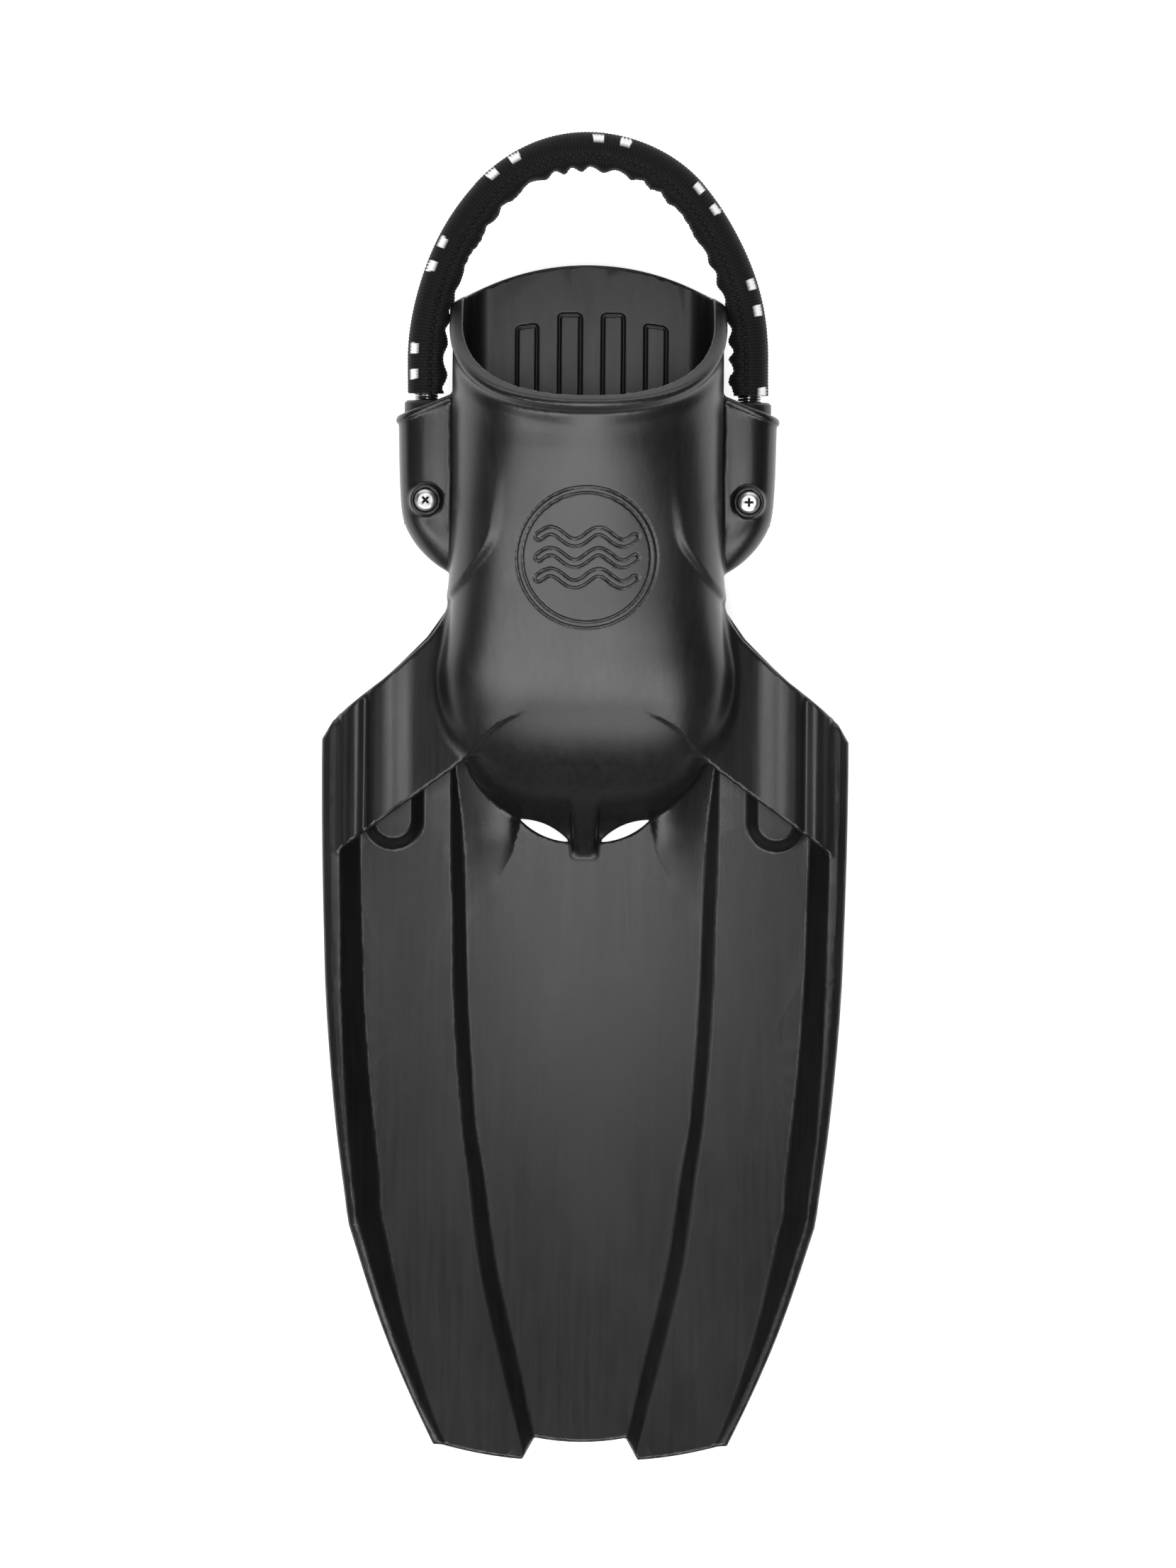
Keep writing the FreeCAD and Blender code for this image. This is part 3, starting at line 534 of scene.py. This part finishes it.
def groove_depth(x, y, z):
    """Depth of the engraved lines: the emblem on the instep and the pads on the footbed."""
    emblem = EMBLEM_DEPTH * ramp(0.7, 0.15, emblem_lines(x, y)) * (z > 40)
    pads = PAD_DEPTH * ramp(0.75, 0.2, pad_lines(x, y)) * (np.abs(z - FOOTBED) < 2) * (np.abs(x) < 38)
    return emblem + pads


def near_grooves(points, reach):
    """Which points lie within reach of an engraved line."""
    x, y, z = points.T
    emblem = (emblem_lines(x, y) < reach) & (z > 40) & (y < 140)
    pads = (pad_lines(x, y) < reach) & (np.abs(z - FOOTBED) < 1.2) & (y > 112)
    return emblem | pads


# ---------------------------------------------------------------- meshing

MOST_SETTLED = 0.8
GROOVE_EDGE = 0.55


def slopes(x, y, z, here, reach=0.1):
    """The field's gradient at points where its value is here: outwards, but not of length 1."""
    ahead = (moulding(x + reach, y, z), moulding(x, y + reach, z), moulding(x, y, z + reach))
    return np.stack([value - here for value in ahead], axis=-1) / reach


def settled(points, rounds=2):
    """Points moved onto the surface along its slope."""
    for _ in range(rounds):
        x, y, z = points.T
        here = moulding(x, y, z)
        slope = slopes(x, y, z, here)
        move = slope * (here / np.maximum((slope**2).sum(axis=1), 0.05))[:, None]
        length = np.linalg.norm(move, axis=1, keepdims=True)
        points = points - move * np.minimum(1, MOST_SETTLED / np.maximum(length, 1e-9))
    return points


def field_mesh():
    """Vertices in millimetres and triangles of the moulding, cut from a grid of one half."""
    x = np.arange(0, 121, CELL).reshape(-1, 1, 1)
    y = np.arange(-296, 240, CELL).reshape(1, -1, 1)
    z = np.arange(-4, 104, CELL).reshape(1, 1, -1)
    slabs = [moulding(part, y, z) for part in np.array_split(x, 8)]
    half = np.concatenate(slabs).astype(np.float32)
    whole = np.concatenate((half[:0:-1], half))
    grid = openvdb.FloatGrid(background=5.0)
    grid.copyFromArray(np.clip(whole, -5, 5))
    grid.transform = openvdb.createLinearTransform(voxelSize=CELL)
    points, _, quads = grid.convertToPolygons(isovalue=0.0)
    points = points + np.array((-x.max(), y.min(), z.min()))
    return points, quads[:, ::-1]


def mesh_object(name, points, faces):
    """An object in metres from points in millimetres."""
    mesh = bpy.data.meshes.new(name)
    mesh.from_pydata((np.asarray(points) * MM).tolist(), [], [list(face) for face in faces])
    mesh.validate()
    thing = bpy.data.objects.new(name, mesh)
    bpy.context.collection.objects.link(thing)
    return thing


def with_modifier(thing, kind, **settings):
    """The object's mesh after one modifier."""
    modifier = thing.modifiers.new(kind.title(), kind)
    for name, value in settings.items():
        setattr(modifier, name, value)
    view = bpy.context.evaluated_depsgraph_get()
    mesh = bpy.data.meshes.new_from_object(thing.evaluated_get(view))
    thing.modifiers.clear()
    thing.data = mesh


def vertex_places(mesh):
    """The mesh's vertices in millimetres."""
    places = np.empty(len(mesh.vertices) * 3)
    mesh.vertices.foreach_get("co", places)
    return places.reshape(-1, 3) / MM


def refine_grooves(thing):
    """Halves the edges beside the engraved lines."""
    work = bmesh.new()
    work.from_mesh(thing.data)
    close = near_grooves(vertex_places(thing.data), 1.6)
    edges = [edge for edge in work.edges if close[edge.verts[0].index] or close[edge.verts[1].index]]
    edges = [edge for edge in edges if edge.calc_length() > GROOVE_EDGE * MM]
    bmesh.ops.subdivide_edges(work, edges=edges, cuts=1)
    bmesh.ops.triangulate(work, faces=[face for face in work.faces if len(face.verts) > 3])
    work.to_mesh(thing.data)
    work.free()


def engrave(thing):
    """Settles the vertices once more and presses the engraved lines in."""
    places = settled(vertex_places(thing.data), 1)
    x, y, z = places.T
    slope = slopes(x, y, z, moulding(x, y, z))
    outward = slope / np.maximum(np.linalg.norm(slope, axis=1, keepdims=True), 1e-9)
    places = places - outward * groove_depth(x, y, z)[:, None]
    thing.data.vertices.foreach_set("co", (places * MM).ravel())
    thing.data.update()


def fin_moulding():
    """The whole rubber moulding: foot pocket, sockets, wings and blade."""
    points, quads = field_mesh()
    thing = mesh_object("fin_moulding", settled(points), quads)
    keep = thing.vertex_groups.new(name="thin")
    smooth = ~near_grooves(vertex_places(thing.data), 2.4)
    keep.add(np.flatnonzero(smooth).tolist(), 1.0, "REPLACE")
    share = MESH_TRIANGLES / (2 * len(quads))
    if share < 1:
        with_modifier(thing, "DECIMATE", ratio=share, vertex_group="thin", use_collapse_triangulate=True)
    refine_grooves(thing)
    engrave(thing)
    thing.data.shade_smooth()
    with_modifier(thing, "WEIGHTED_NORMAL", weight=50)
    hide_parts("foot_pocket", "blade")
    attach(thing, "fin")
    return thing


# ---------------------------------------------------------------- heel strap

STRAP_X, STRAP_Z = EAR_X, EAR_Z
STRAP_START, STRAP_TURN = 146.2, 190.5
SIDE_RADIUS, TOP_RADIUS = 110.0, 58.1
JOINT_Y = 262.37
JOINT_ANGLE = math.asin((JOINT_Y - STRAP_TURN) / SIDE_RADIUS)
TOP_Y = JOINT_Y - TOP_RADIUS * math.sin(JOINT_ANGLE)
LEG = STRAP_TURN - STRAP_START
SIDE_ARC = SIDE_RADIUS * JOINT_ANGLE
STRAP_LENGTH = 2 * (LEG + SIDE_ARC) + TOP_RADIUS * (math.pi - 2 * JOINT_ANGLE)
SLEEVE_START = 176.0 - STRAP_START
LEG_END = 192.5 - STRAP_START
COIL_START = 0.8
SEAM = -2.4
TAPE_REACH, TAPE_HEIGHT = 8.2, 9.3
RIB_PITCH = 1.4
STITCH_HEIGHT = 9.25
PRINT_PITCH, PRINT_SHIFT, PRINT_GAP, PRINT_HALF = 46.0, 9.0, 5.6, 2.3
PRINT_LOW, PRINT_HIGH = 3.7, 7.3


def strap_course(along):
    """Middle line of the strap: place in plan and the direction away from the heel."""
    near = np.minimum(along, STRAP_LENGTH - along)
    side = np.where(along < STRAP_LENGTH / 2, 1, -1)
    turn = np.clip((near - LEG) / SIDE_RADIUS, 0, JOINT_ANGLE)
    top_turn = JOINT_ANGLE + np.maximum(near - LEG - SIDE_ARC, 0) / TOP_RADIUS
    x = STRAP_X - SIDE_RADIUS * (1 - np.cos(turn))
    y = STRAP_START + np.minimum(near, LEG) + SIDE_RADIUS * np.sin(turn)
    on_top = near > LEG + SIDE_ARC
    x = np.where(on_top, TOP_RADIUS * np.cos(top_turn), x)
    y = np.where(on_top, TOP_Y + TOP_RADIUS * np.sin(top_turn), y)
    angle = np.where(on_top, top_turn, turn)
    return x * side, y, np.cos(angle) * side, np.sin(angle)


def strap_points(along, out, up):
    """Points beside the strap's middle line: out from the heel and up from it."""
    x, y, out_x, out_y = strap_course(along)
    z = np.broadcast_to(STRAP_Z + up, np.broadcast(x, out, up).shape)
    return np.stack((x + out * out_x, y + out * out_y, z), axis=-1)


def tube_faces(rows, columns, first=0):
    """Quads along a tube's sections and a face over each end; first is its first vertex."""
    row, column = np.meshgrid(np.arange(rows - 1), np.arange(columns), indexing="ij")
    here, after = row * columns + column, row * columns + (column + 1) % columns
    quads = np.stack((here, after, after + columns, here + columns), axis=-1).reshape(-1, 4) + first
    last = first + (rows - 1) * columns
    ends = [list(range(first, first + columns))[::-1], list(range(last, last + columns))]
    return quads.tolist() + ends


def tube(name, points):
    """A closed tube over rows of points, one row to a section."""
    rows, columns = points.shape[:2]
    thing = mesh_object(name, points.reshape(-1, 3), tube_faces(rows, columns))
    thing.data.shade_smooth()
    return thing


def vertex_numbers(thing, name, numbers):
    """Stores a number at each vertex, for a material to read."""
    thing.data.attributes.new(name, "FLOAT", "POINT").data.foreach_set("value", numbers.ravel())


def coil(name, start, end):
    """The close-wound spring between two places along the strap."""
    pitch, wire, middle = 1.32, 0.62, 4.6
    around, sides = 18, 6
    turns = (end - start) / pitch
    wind = np.linspace(0, turns, int(turns * around) + 1)
    angle = (wind * 2 * np.pi)[:, None]
    ring = np.linspace(0, 2 * np.pi, sides, endpoint=False)[None, :]
    radius = middle + wire * np.cos(ring)
    along = start + wind[:, None] * pitch + wire * np.sin(ring)
    return tube(name, strap_points(along, radius * np.cos(angle), radius * np.sin(angle)))


def gathers(along):
    """The uneven ruffles of the inner tape, from -1 to 1."""
    middle = STRAP_LENGTH / 2
    phase = (along - middle) / 13.2 + 0.32 * np.sin((along - middle) / 19) + 0.2 * np.sin(along / 7.3)
    return np.sin(phase * 2 * np.pi) * (0.75 + 0.25 * np.sin(along / 23))


def tape_outline(way):
    """Half of an oval, from the upper seam around the far side to the lower seam."""
    angle = np.linspace(math.pi / 2, -math.pi / 2, 15)
    out = SEAM + way * (TAPE_REACH + way * -SEAM) * np.cos(angle) ** 0.75
    up = np.sign(np.sin(angle)) * TAPE_HEIGHT * np.abs(np.sin(angle)) ** 0.85
    return out, up


def printed(along, out, up):
    """1 where the outer tape has a white dash, printed in pairs."""
    from_pair = along - STRAP_LENGTH / 2 + PRINT_SHIFT
    from_pair = np.abs((from_pair + PRINT_PITCH / 2) % PRINT_PITCH - PRINT_PITCH / 2)
    beside = from_pair - PRINT_GAP
    dash = (np.abs(beside) < PRINT_HALF) & (out > PRINT_LOW) & (out < PRINT_HIGH) & (up > -6)
    return (dash & (beside * 0.9 < out - PRINT_LOW + 0.4)).astype(float)


def tape(name, way, start, end):
    """One ribbed tape of the sleeve: the outer one (way 1) or the gathered inner one (way -1)."""
    step = 0.35
    along = np.linspace(start, end, int(round((end - start) / step)) + 1)[:, None]
    crown = np.abs(np.sin(along * math.pi / RIB_PITCH))
    rib = 0.34 * crown**0.8 - 0.2
    out, up = tape_outline(way)
    far = np.abs(out - SEAM) / np.abs(out - SEAM).max()
    ruffle, pinch, fold = 0.12 * np.sin(along / 9) * far, 1, 0
    if way < 0:
        ruffle = gathers(along) * 0.95 * far**1.4
        pinch = 1 - 0.05 * gathers(along + 3) * np.sin(far * math.pi)
        fold = 0.22 * np.sin(far * 5 + gathers(along * 1.3) * 2)
    outer_out = out + way * (rib + ruffle + fold) * (0.15 + far)
    outer_up = up * pinch + np.sign(up) * rib * (1 - far)
    inner_out = SEAM + (out - SEAM) * 0.82 + way * ruffle * (0.15 + far) * 0.9
    inner_up = np.broadcast_to(up * pinch * 0.86, outer_up.shape)
    section_out = np.concatenate((outer_out, inner_out[:, ::-1]), axis=1)
    section_up = np.concatenate((outer_up, inner_up[:, ::-1]), axis=1)
    thing = tube(name, strap_points(along, section_out, section_up))
    marks = np.zeros(section_out.shape)
    if way > 0:
        marks[:, : out.size] = printed(along, outer_out, outer_up)
    vertex_numbers(thing, "print", marks)
    # The rib share paints highlights on the webbing's rib crowns and shade in its valleys.
    vertex_numbers(thing, "rib", np.repeat(crown**1.5, section_out.shape[1], axis=1))
    return thing


def stitches(name, start, end, sides):
    """Zigzag sewing along the seams of the two tapes, above (1) and below (-1) the spring."""
    step, reach, thread, corners = 1.5, 1.05, 0.27, 5
    count = int((end - start) / step)
    along = start + (end - start) * np.arange(count * 4 + 1) / (count * 4)
    swing = (along - start) / (end - start) * count
    zigzag = reach * (2 * np.abs(swing % 2 - 1) - 1)
    dip = 0.22 * np.cos(swing * 2 * np.pi)
    ring = np.linspace(0, 2 * np.pi, corners, endpoint=False)[None, :]
    points, faces = [], []
    for side in sides:
        out = SEAM + zigzag[:, None] + thread * np.cos(ring)
        up = side * (STITCH_HEIGHT + dip[:, None] + thread * np.sin(ring))
        faces += tube_faces(len(along), corners, len(points) * len(along) * corners)
        points.append(strap_points(along[:, None], out, up).reshape(-1, 3))
    thing = mesh_object(name, np.concatenate(points), faces)
    thing.data.shade_smooth()
    vertex_numbers(thing, "rib", np.full(len(thing.data.vertices), 0.8))
    work = bmesh.new()
    work.from_mesh(thing.data)
    bmesh.ops.recalc_face_normals(work, faces=work.faces)
    work.to_mesh(thing.data)
    work.free()
    return thing


def leg_bends(thing):
    """Bakes the place of one of a leg's pieces into its mesh."""
    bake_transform(thing)


def arch_stretches(thing):
    """Bakes the place of one of the arch's pieces into its mesh."""
    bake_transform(thing)


def heel_strap(steel, webbing, thread):
    """The spring, its two tapes and their sewing, each as one arch and two legs."""
    arch = (LEG_END, STRAP_LENGTH - LEG_END)
    for side, sign in (("right", 1), ("left", -1)):
        spring, sleeve = (COIL_START, LEG_END), (SLEEVE_START, LEG_END)
        if side == "left":
            spring = (STRAP_LENGTH - LEG_END, STRAP_LENGTH - COIL_START)
            sleeve = (STRAP_LENGTH - LEG_END, STRAP_LENGTH - SLEEVE_START)
        pieces = [
            (coil(f"{side}_leg_coil", *spring), steel, "stainless_steel"),
            (tape(f"{side}_leg_outer_tape", 1, *sleeve), webbing, "webbing"),
            (tape(f"{side}_leg_inner_tape", -1, *sleeve), webbing, "webbing"),
            (stitches(f"{side}_leg_stitches", *sleeve, (1, -1)), thread, "thread"),
        ]
        for piece, material, slot in pieces:
            piece.data.materials.append(material)
            leg_bends(piece)
    pieces = [
        (coil("arch_coil", *arch), steel, "stainless_steel", "heel_spring"),
        (tape("arch_outer_tape", 1, *arch), webbing, "webbing", "sleeve_outer_tape"),
        (tape("arch_inner_tape", -1, *arch), webbing, "webbing", "sleeve_inner_tape"),
        (stitches("arch_upper_stitches", *arch, (1,)), thread, "thread", "upper_seam_thread"),
        (stitches("arch_lower_stitches", *arch, (-1,)), thread, "thread", "lower_seam_thread"),
    ]
    for piece, material, slot, node in pieces:
        piece.data.materials.append(material)
        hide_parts(node)
        arch_stretches(piece)


# ---------------------------------------------------------------- materials

class Material:
    """A node material, with short ways to add nodes and to link them."""

    def __init__(self, name):
        self.material = bpy.data.materials.new(name)
        self.material.use_nodes = True
        self.tree = self.material.node_tree
        self.shader = self.tree.nodes["Principled BSDF"]

    def node(self, kind, **settings):
        """A new node, with settings for its options or its inputs."""
        node = self.tree.nodes.new(f"ShaderNode{kind}")
        for name, value in settings.items():
            if hasattr(node, name):
                setattr(node, name, value)
            else:
                node.inputs[name.replace("_", " ").title()].default_value = value
        return node

    def link(self, source, output, target, socket):
        """Joins one node's output to another's input."""
        self.tree.links.new(source.outputs[output], target.inputs[socket])

    def places(self, scale=(1, 1, 1)):
        """Object coordinates, stretched."""
        coordinates = self.node("TexCoord")
        mapping = self.node("Mapping")
        mapping.inputs["Scale"].default_value = scale
        self.link(coordinates, "Object", mapping, "Vector")
        return mapping

    def noise(self, places, scale, detail=4, roughness=0.6):
        """Procedural noise over the places."""
        noise = self.node("TexNoise", scale=scale, detail=detail, roughness=roughness)
        self.link(places, "Vector", noise, "Vector")
        return noise

    def spread(self, source, output, low, high, start=0.3, end=0.7):
        """Maps a texture's middle range to a range of numbers."""
        spread = self.node("MapRange")
        for name, value in (("From Min", start), ("From Max", end), ("To Min", low), ("To Max", high)):
            spread.inputs[name].default_value = value
        self.link(source, output, spread, "Value")
        return spread

    def blend(self, share, low, high, output="Result"):
        """A colour between two, by a share: each is a colour or a mix node."""
        mix = self.node("Mix", data_type="RGBA")
        self.link(share, output, mix, 0)
        for socket, colour in ((6, low), (7, high)):
            if isinstance(colour, tuple):
                mix.inputs[socket].default_value = (*colour, 1)
            else:
                self.tree.links.new(colour.outputs[2], mix.inputs[socket])
        return mix

    def colour(self, mix):
        """Makes a mix node the surface's colour."""
        self.tree.links.new(mix.outputs[2], self.shader.inputs["Base Color"])

    def bump(self, heights, strength, depth):
        """Adds one bump on top of those added before."""
        bump = self.node("Bump")
        bump.inputs["Strength"].default_value = strength
        bump.inputs["Distance"].default_value = depth
        source, output = heights
        self.link(source, output, bump, "Height")
        normal = self.shader.inputs["Normal"]
        if normal.links:
            self.tree.links.new(normal.links[0].from_socket, bump.inputs["Normal"])
        self.link(bump, "Normal", self.shader, "Normal")

    def surface(self, **values):
        """Sets values straight on the shader's own sockets."""
        for name, value in values.items():
            self.shader.inputs[name.replace("_", " ")].default_value = value


def rubber():
    """Near-black moulded rubber: satin, with lengthwise flow streaks, rubbed patches and fine scuffs."""
    paint = Material("moulded_rubber_satin")
    streaks = paint.noise(paint.places((1, 0.05, 1)), 420, detail=4, roughness=0.6)
    clouds = paint.noise(paint.places((1, 0.5, 1)), 22, detail=6, roughness=0.65)
    grain = paint.noise(paint.places(), 1500, detail=3, roughness=0.7)
    scuffs = paint.noise(paint.places((1, 7, 1)), 60, detail=8, roughness=0.78)
    black, satin = (0.0050, 0.0048, 0.0047), (0.0095, 0.0090, 0.0087)
    rubbed, grey = (0.015, 0.0140, 0.0134), (0.04, 0.038, 0.036)
    base = paint.blend(paint.spread(streaks, "Fac", 0, 1), black, satin)
    worn = paint.blend(paint.spread(clouds, "Fac", 0, 0.6, 0.45, 0.75), base, rubbed)
    paint.colour(paint.blend(paint.spread(scuffs, "Fac", 0, 0.5, 0.66, 0.85), worn, grey))
    shine = paint.node("Math", operation="ADD")
    paint.link(paint.spread(clouds, "Fac", 0.155, 0.215), "Result", shine, 0)
    paint.link(paint.spread(streaks, "Fac", 0.150, 0.185), "Result", shine, 1)
    paint.link(shine, "Value", paint.shader, "Roughness")
    paint.bump((streaks, "Fac"), 0.25, 0.0001)
    paint.bump((clouds, "Fac"), 0.12, 0.0008)
    paint.bump((grain, "Fac"), 0.18, 0.0001)
    paint.bump((scuffs, "Fac"), 0.12, 0.0001)
    return paint.material


# Colour of the shade painted into a screw head's recess, and the distances in metres over which it fades
# out.
RECESS_SHADE_PAINT = (0.012, 0.012, 0.012)
RECESS_SHADE_PAINT_REACH = (0.0017, 0.0022)


def metal(name, dark, light, rough, scratches, recess=None):
    """Bright metal with fine scratches and an uneven tone, and painted shade in a screw head's recess.
    """
    paint = Material(name)
    tone = paint.noise(paint.places(), 260, detail=4)
    lines = paint.noise(paint.places(scratches), 90, detail=6, roughness=0.7)
    bare = paint.blend(paint.spread(tone, "Fac", 0, 1), dark, light)
    if recess:
        # Painted shade: a dark spot is painted over the screw head's recess, full within 1.7 mm of its
        # middle and gone by 2.2 mm, where shade falls in the hollow.
        beside = paint.node("VectorMath", operation="ABSOLUTE")
        paint.link(paint.places(), "Vector", beside, 0)
        reach = paint.node("VectorMath", operation="DISTANCE")
        reach.inputs[1].default_value = recess
        paint.link(beside, "Vector", reach, 0)
        bare = paint.blend(paint.spread(reach, "Value", 1, 0, *RECESS_SHADE_PAINT_REACH), bare, RECESS_SHADE_PAINT)
    paint.colour(bare)
    shine = paint.spread(lines, "Fac", rough - 0.07, rough + 0.09)
    paint.link(shine, "Result", paint.shader, "Roughness")
    paint.bump((lines, "Fac"), 0.10, 0.0001)
    paint.surface(Metallic=1.0)
    return paint.material


def woven(name, dark, light, shine):
    """Black nylon yarn: painted highlights on the rib crowns with painted shade in the valleys, fine
    threads, a little lint and the white print.
    """
    paint = Material(name)
    lint = paint.noise(paint.places(), 1400, detail=5, roughness=0.7)
    yarn = paint.noise(paint.places((1, 1, 3)), 700, detail=2)
    # Painted highlight and shade: the colour runs from the dark one in the rib valleys to the light one
    # on the rib crowns.
    painted_rib_highlight = paint.node("Attribute", attribute_name="rib")
    share = paint.node("Math", operation="MULTIPLY")
    paint.link(painted_rib_highlight, "Fac", share, 0)
    paint.link(paint.spread(lint, "Fac", 0.55, 1.2), "Result", share, 1)
    base = paint.blend(share, dark, light, "Value")
    marks = paint.node("Attribute", attribute_name="print")
    paint.colour(paint.blend(marks, base, (0.95, 0.95, 0.94), "Fac"))
    rough = paint.spread(yarn, "Fac", shine, shine + 0.2)
    paint.link(rough, "Result", paint.shader, "Roughness")
    paint.bump((yarn, "Fac"), 0.35, 0.0003)
    paint.bump((lint, "Fac"), 0.2, 0.0002)
    paint.surface(Sheen_Weight=0.03, Specular_IOR_Level=0.16)
    return paint.material


def plug_plastic():
    """Matt black moulded plastic with a fine spark-eroded grain."""
    paint = Material("plug_plastic_grain")
    grain = paint.noise(paint.places(), 1100, detail=3)
    wear = paint.noise(paint.places(), 120, detail=6, roughness=0.7)
    worn = paint.spread(wear, "Fac", 0, 1, 0.5, 0.8)
    paint.colour(paint.blend(worn, (0.012, 0.012, 0.012), (0.03, 0.03, 0.03)))
    rough = paint.spread(wear, "Fac", 0.38, 0.55)
    paint.link(rough, "Result", paint.shader, "Roughness")
    paint.bump((grain, "Fac"), 0.25, 0.0002)
    return paint.material


def finish_fittings(steel):
    """Gives the CAD's own small parts their finishes."""
    plastic = plug_plastic()
    # Middle of the screw head's recess, where the zinc gets its painted shade.
    recess = (EAR_X * MM, SCREW_Y * MM, RECESS_Z * MM)
    zinc = metal("zinc_plate", (0.36, 0.365, 0.37), (0.60, 0.605, 0.61), 0.36, (1, 1, 1), recess)
    brass = metal("turned_brass", (0.60, 0.44, 0.20), (0.78, 0.62, 0.34), 0.25, (1, 20, 1))
    finishes = {"plug": plastic, "screw": zinc, "nut": steel, "stud": brass}
    for name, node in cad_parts.items():
        for ending, material in finishes.items():
            if name.endswith(ending):
                node.data.materials.clear()
                node.data.materials.append(material)


# ---------------------------------------------------------------- setting and camera

def aim(thing, target):
    """Turns a light toward a place."""
    thing.rotation_euler = (Vector(target) - thing.location).to_track_quat("-Z", "Y").to_euler()


def softbox(name, place, target, width, length, power):
    """A rectangular light in metres and watts."""
    light = bpy.data.lights.new(name, "AREA")
    light.shape = "RECTANGLE"
    light.size, light.size_y = width, length
    light.energy = power
    thing = bpy.data.objects.new(name, light)
    thing.location = place
    aim(thing, target)
    bpy.context.collection.objects.link(thing)


FLOOR_SIDE = 60.0
SURROUND_STRENGTH = 0.03


def studio():
    """A white floor under soft boxes, and a faint white surround."""
    side = FLOOR_SIDE
    corners = [(-side, -side, 0), (side, -side, 0), (side, side, 0), (-side, side, 0)]
    floor = mesh_object("studio_floor", np.array(corners) / MM, [(0, 1, 2, 3)])
    paint = Material("studio_white")
    speckle = paint.noise(paint.places(), 3)
    paint.colour(paint.blend(paint.spread(speckle, "Fac", 0, 1), (0.93, 0.93, 0.93), (0.95, 0.95, 0.95)))
    paint.surface(Roughness=0.9, Specular_IOR_Level=0.0)
    paint.surface(Emission_Color=(1, 1, 1, 1), Emission_Strength=0.8)
    floor.data.materials.append(paint.material)
    softbox("overhead", (0.005, 0.055, 0.62), (0.005, 0.055, 0), 0.09, 0.34, 1.12)
    softbox("front", (-0.40, -1.50, 2.15), (0.0, 0.08, 0.08), 3.8, 0.8, 68)
    softbox("rear", (0.0, 1.7, 0.95), (0.0, 0.0, 0.05), 3.0, 0.9, 24)
    world = bpy.data.worlds.new("surround")
    world.use_nodes = True
    background = world.node_tree.nodes["Background"]
    background.inputs["Color"].default_value = (1, 1, 1, 1)
    background.inputs["Strength"].default_value = SURROUND_STRENGTH
    bpy.context.scene.world = world


# The height in metres that the picture shows at the fin, and where its middle lies.
VIEW_LENGTH = 0.6857
VIEW_MIDDLE = (0.0013, 0.0057)
VIEW_TURN = 0.0077
PLANE_HEIGHT = 0.03
LENS, SENSOR = 350.0, 36.0


def camera():
    """Straight above, far away with a long lens, as the photograph is framed."""
    view = bpy.data.cameras.new("photo_view")
    view.sensor_fit = "VERTICAL"
    view.sensor_height = SENSOR
    view.lens = LENS
    view.clip_end = 50
    thing = bpy.data.objects.new("photo_view", view)
    distance = LENS * VIEW_LENGTH / SENSOR
    thing.location = (*VIEW_MIDDLE, distance + PLANE_HEIGHT)
    thing.rotation_euler = (0, 0, VIEW_TURN)
    bpy.context.collection.objects.link(thing)
    bpy.context.scene.camera = thing


stainless = metal("spring_steel", (0.42, 0.42, 0.43), (0.62, 0.62, 0.62), 0.22, (1, 1, 1))
fin_moulding().data.materials.append(rubber())
finish_fittings(stainless)
heel_strap(
    stainless,
    # The webbing's dark colour is the painted shade of its rib valleys, its light colour the painted
    # highlight of its rib crowns.
    woven("ribbed_webbing", (0.0006, 0.0006, 0.0007), (0.009, 0.009, 0.0094), 0.6),
    woven("sewing_thread", (0.010, 0.010, 0.011), (0.03, 0.03, 0.032), 0.4),
)
studio()
camera()
bpy.context.scene.view_settings.view_transform = "Standard"
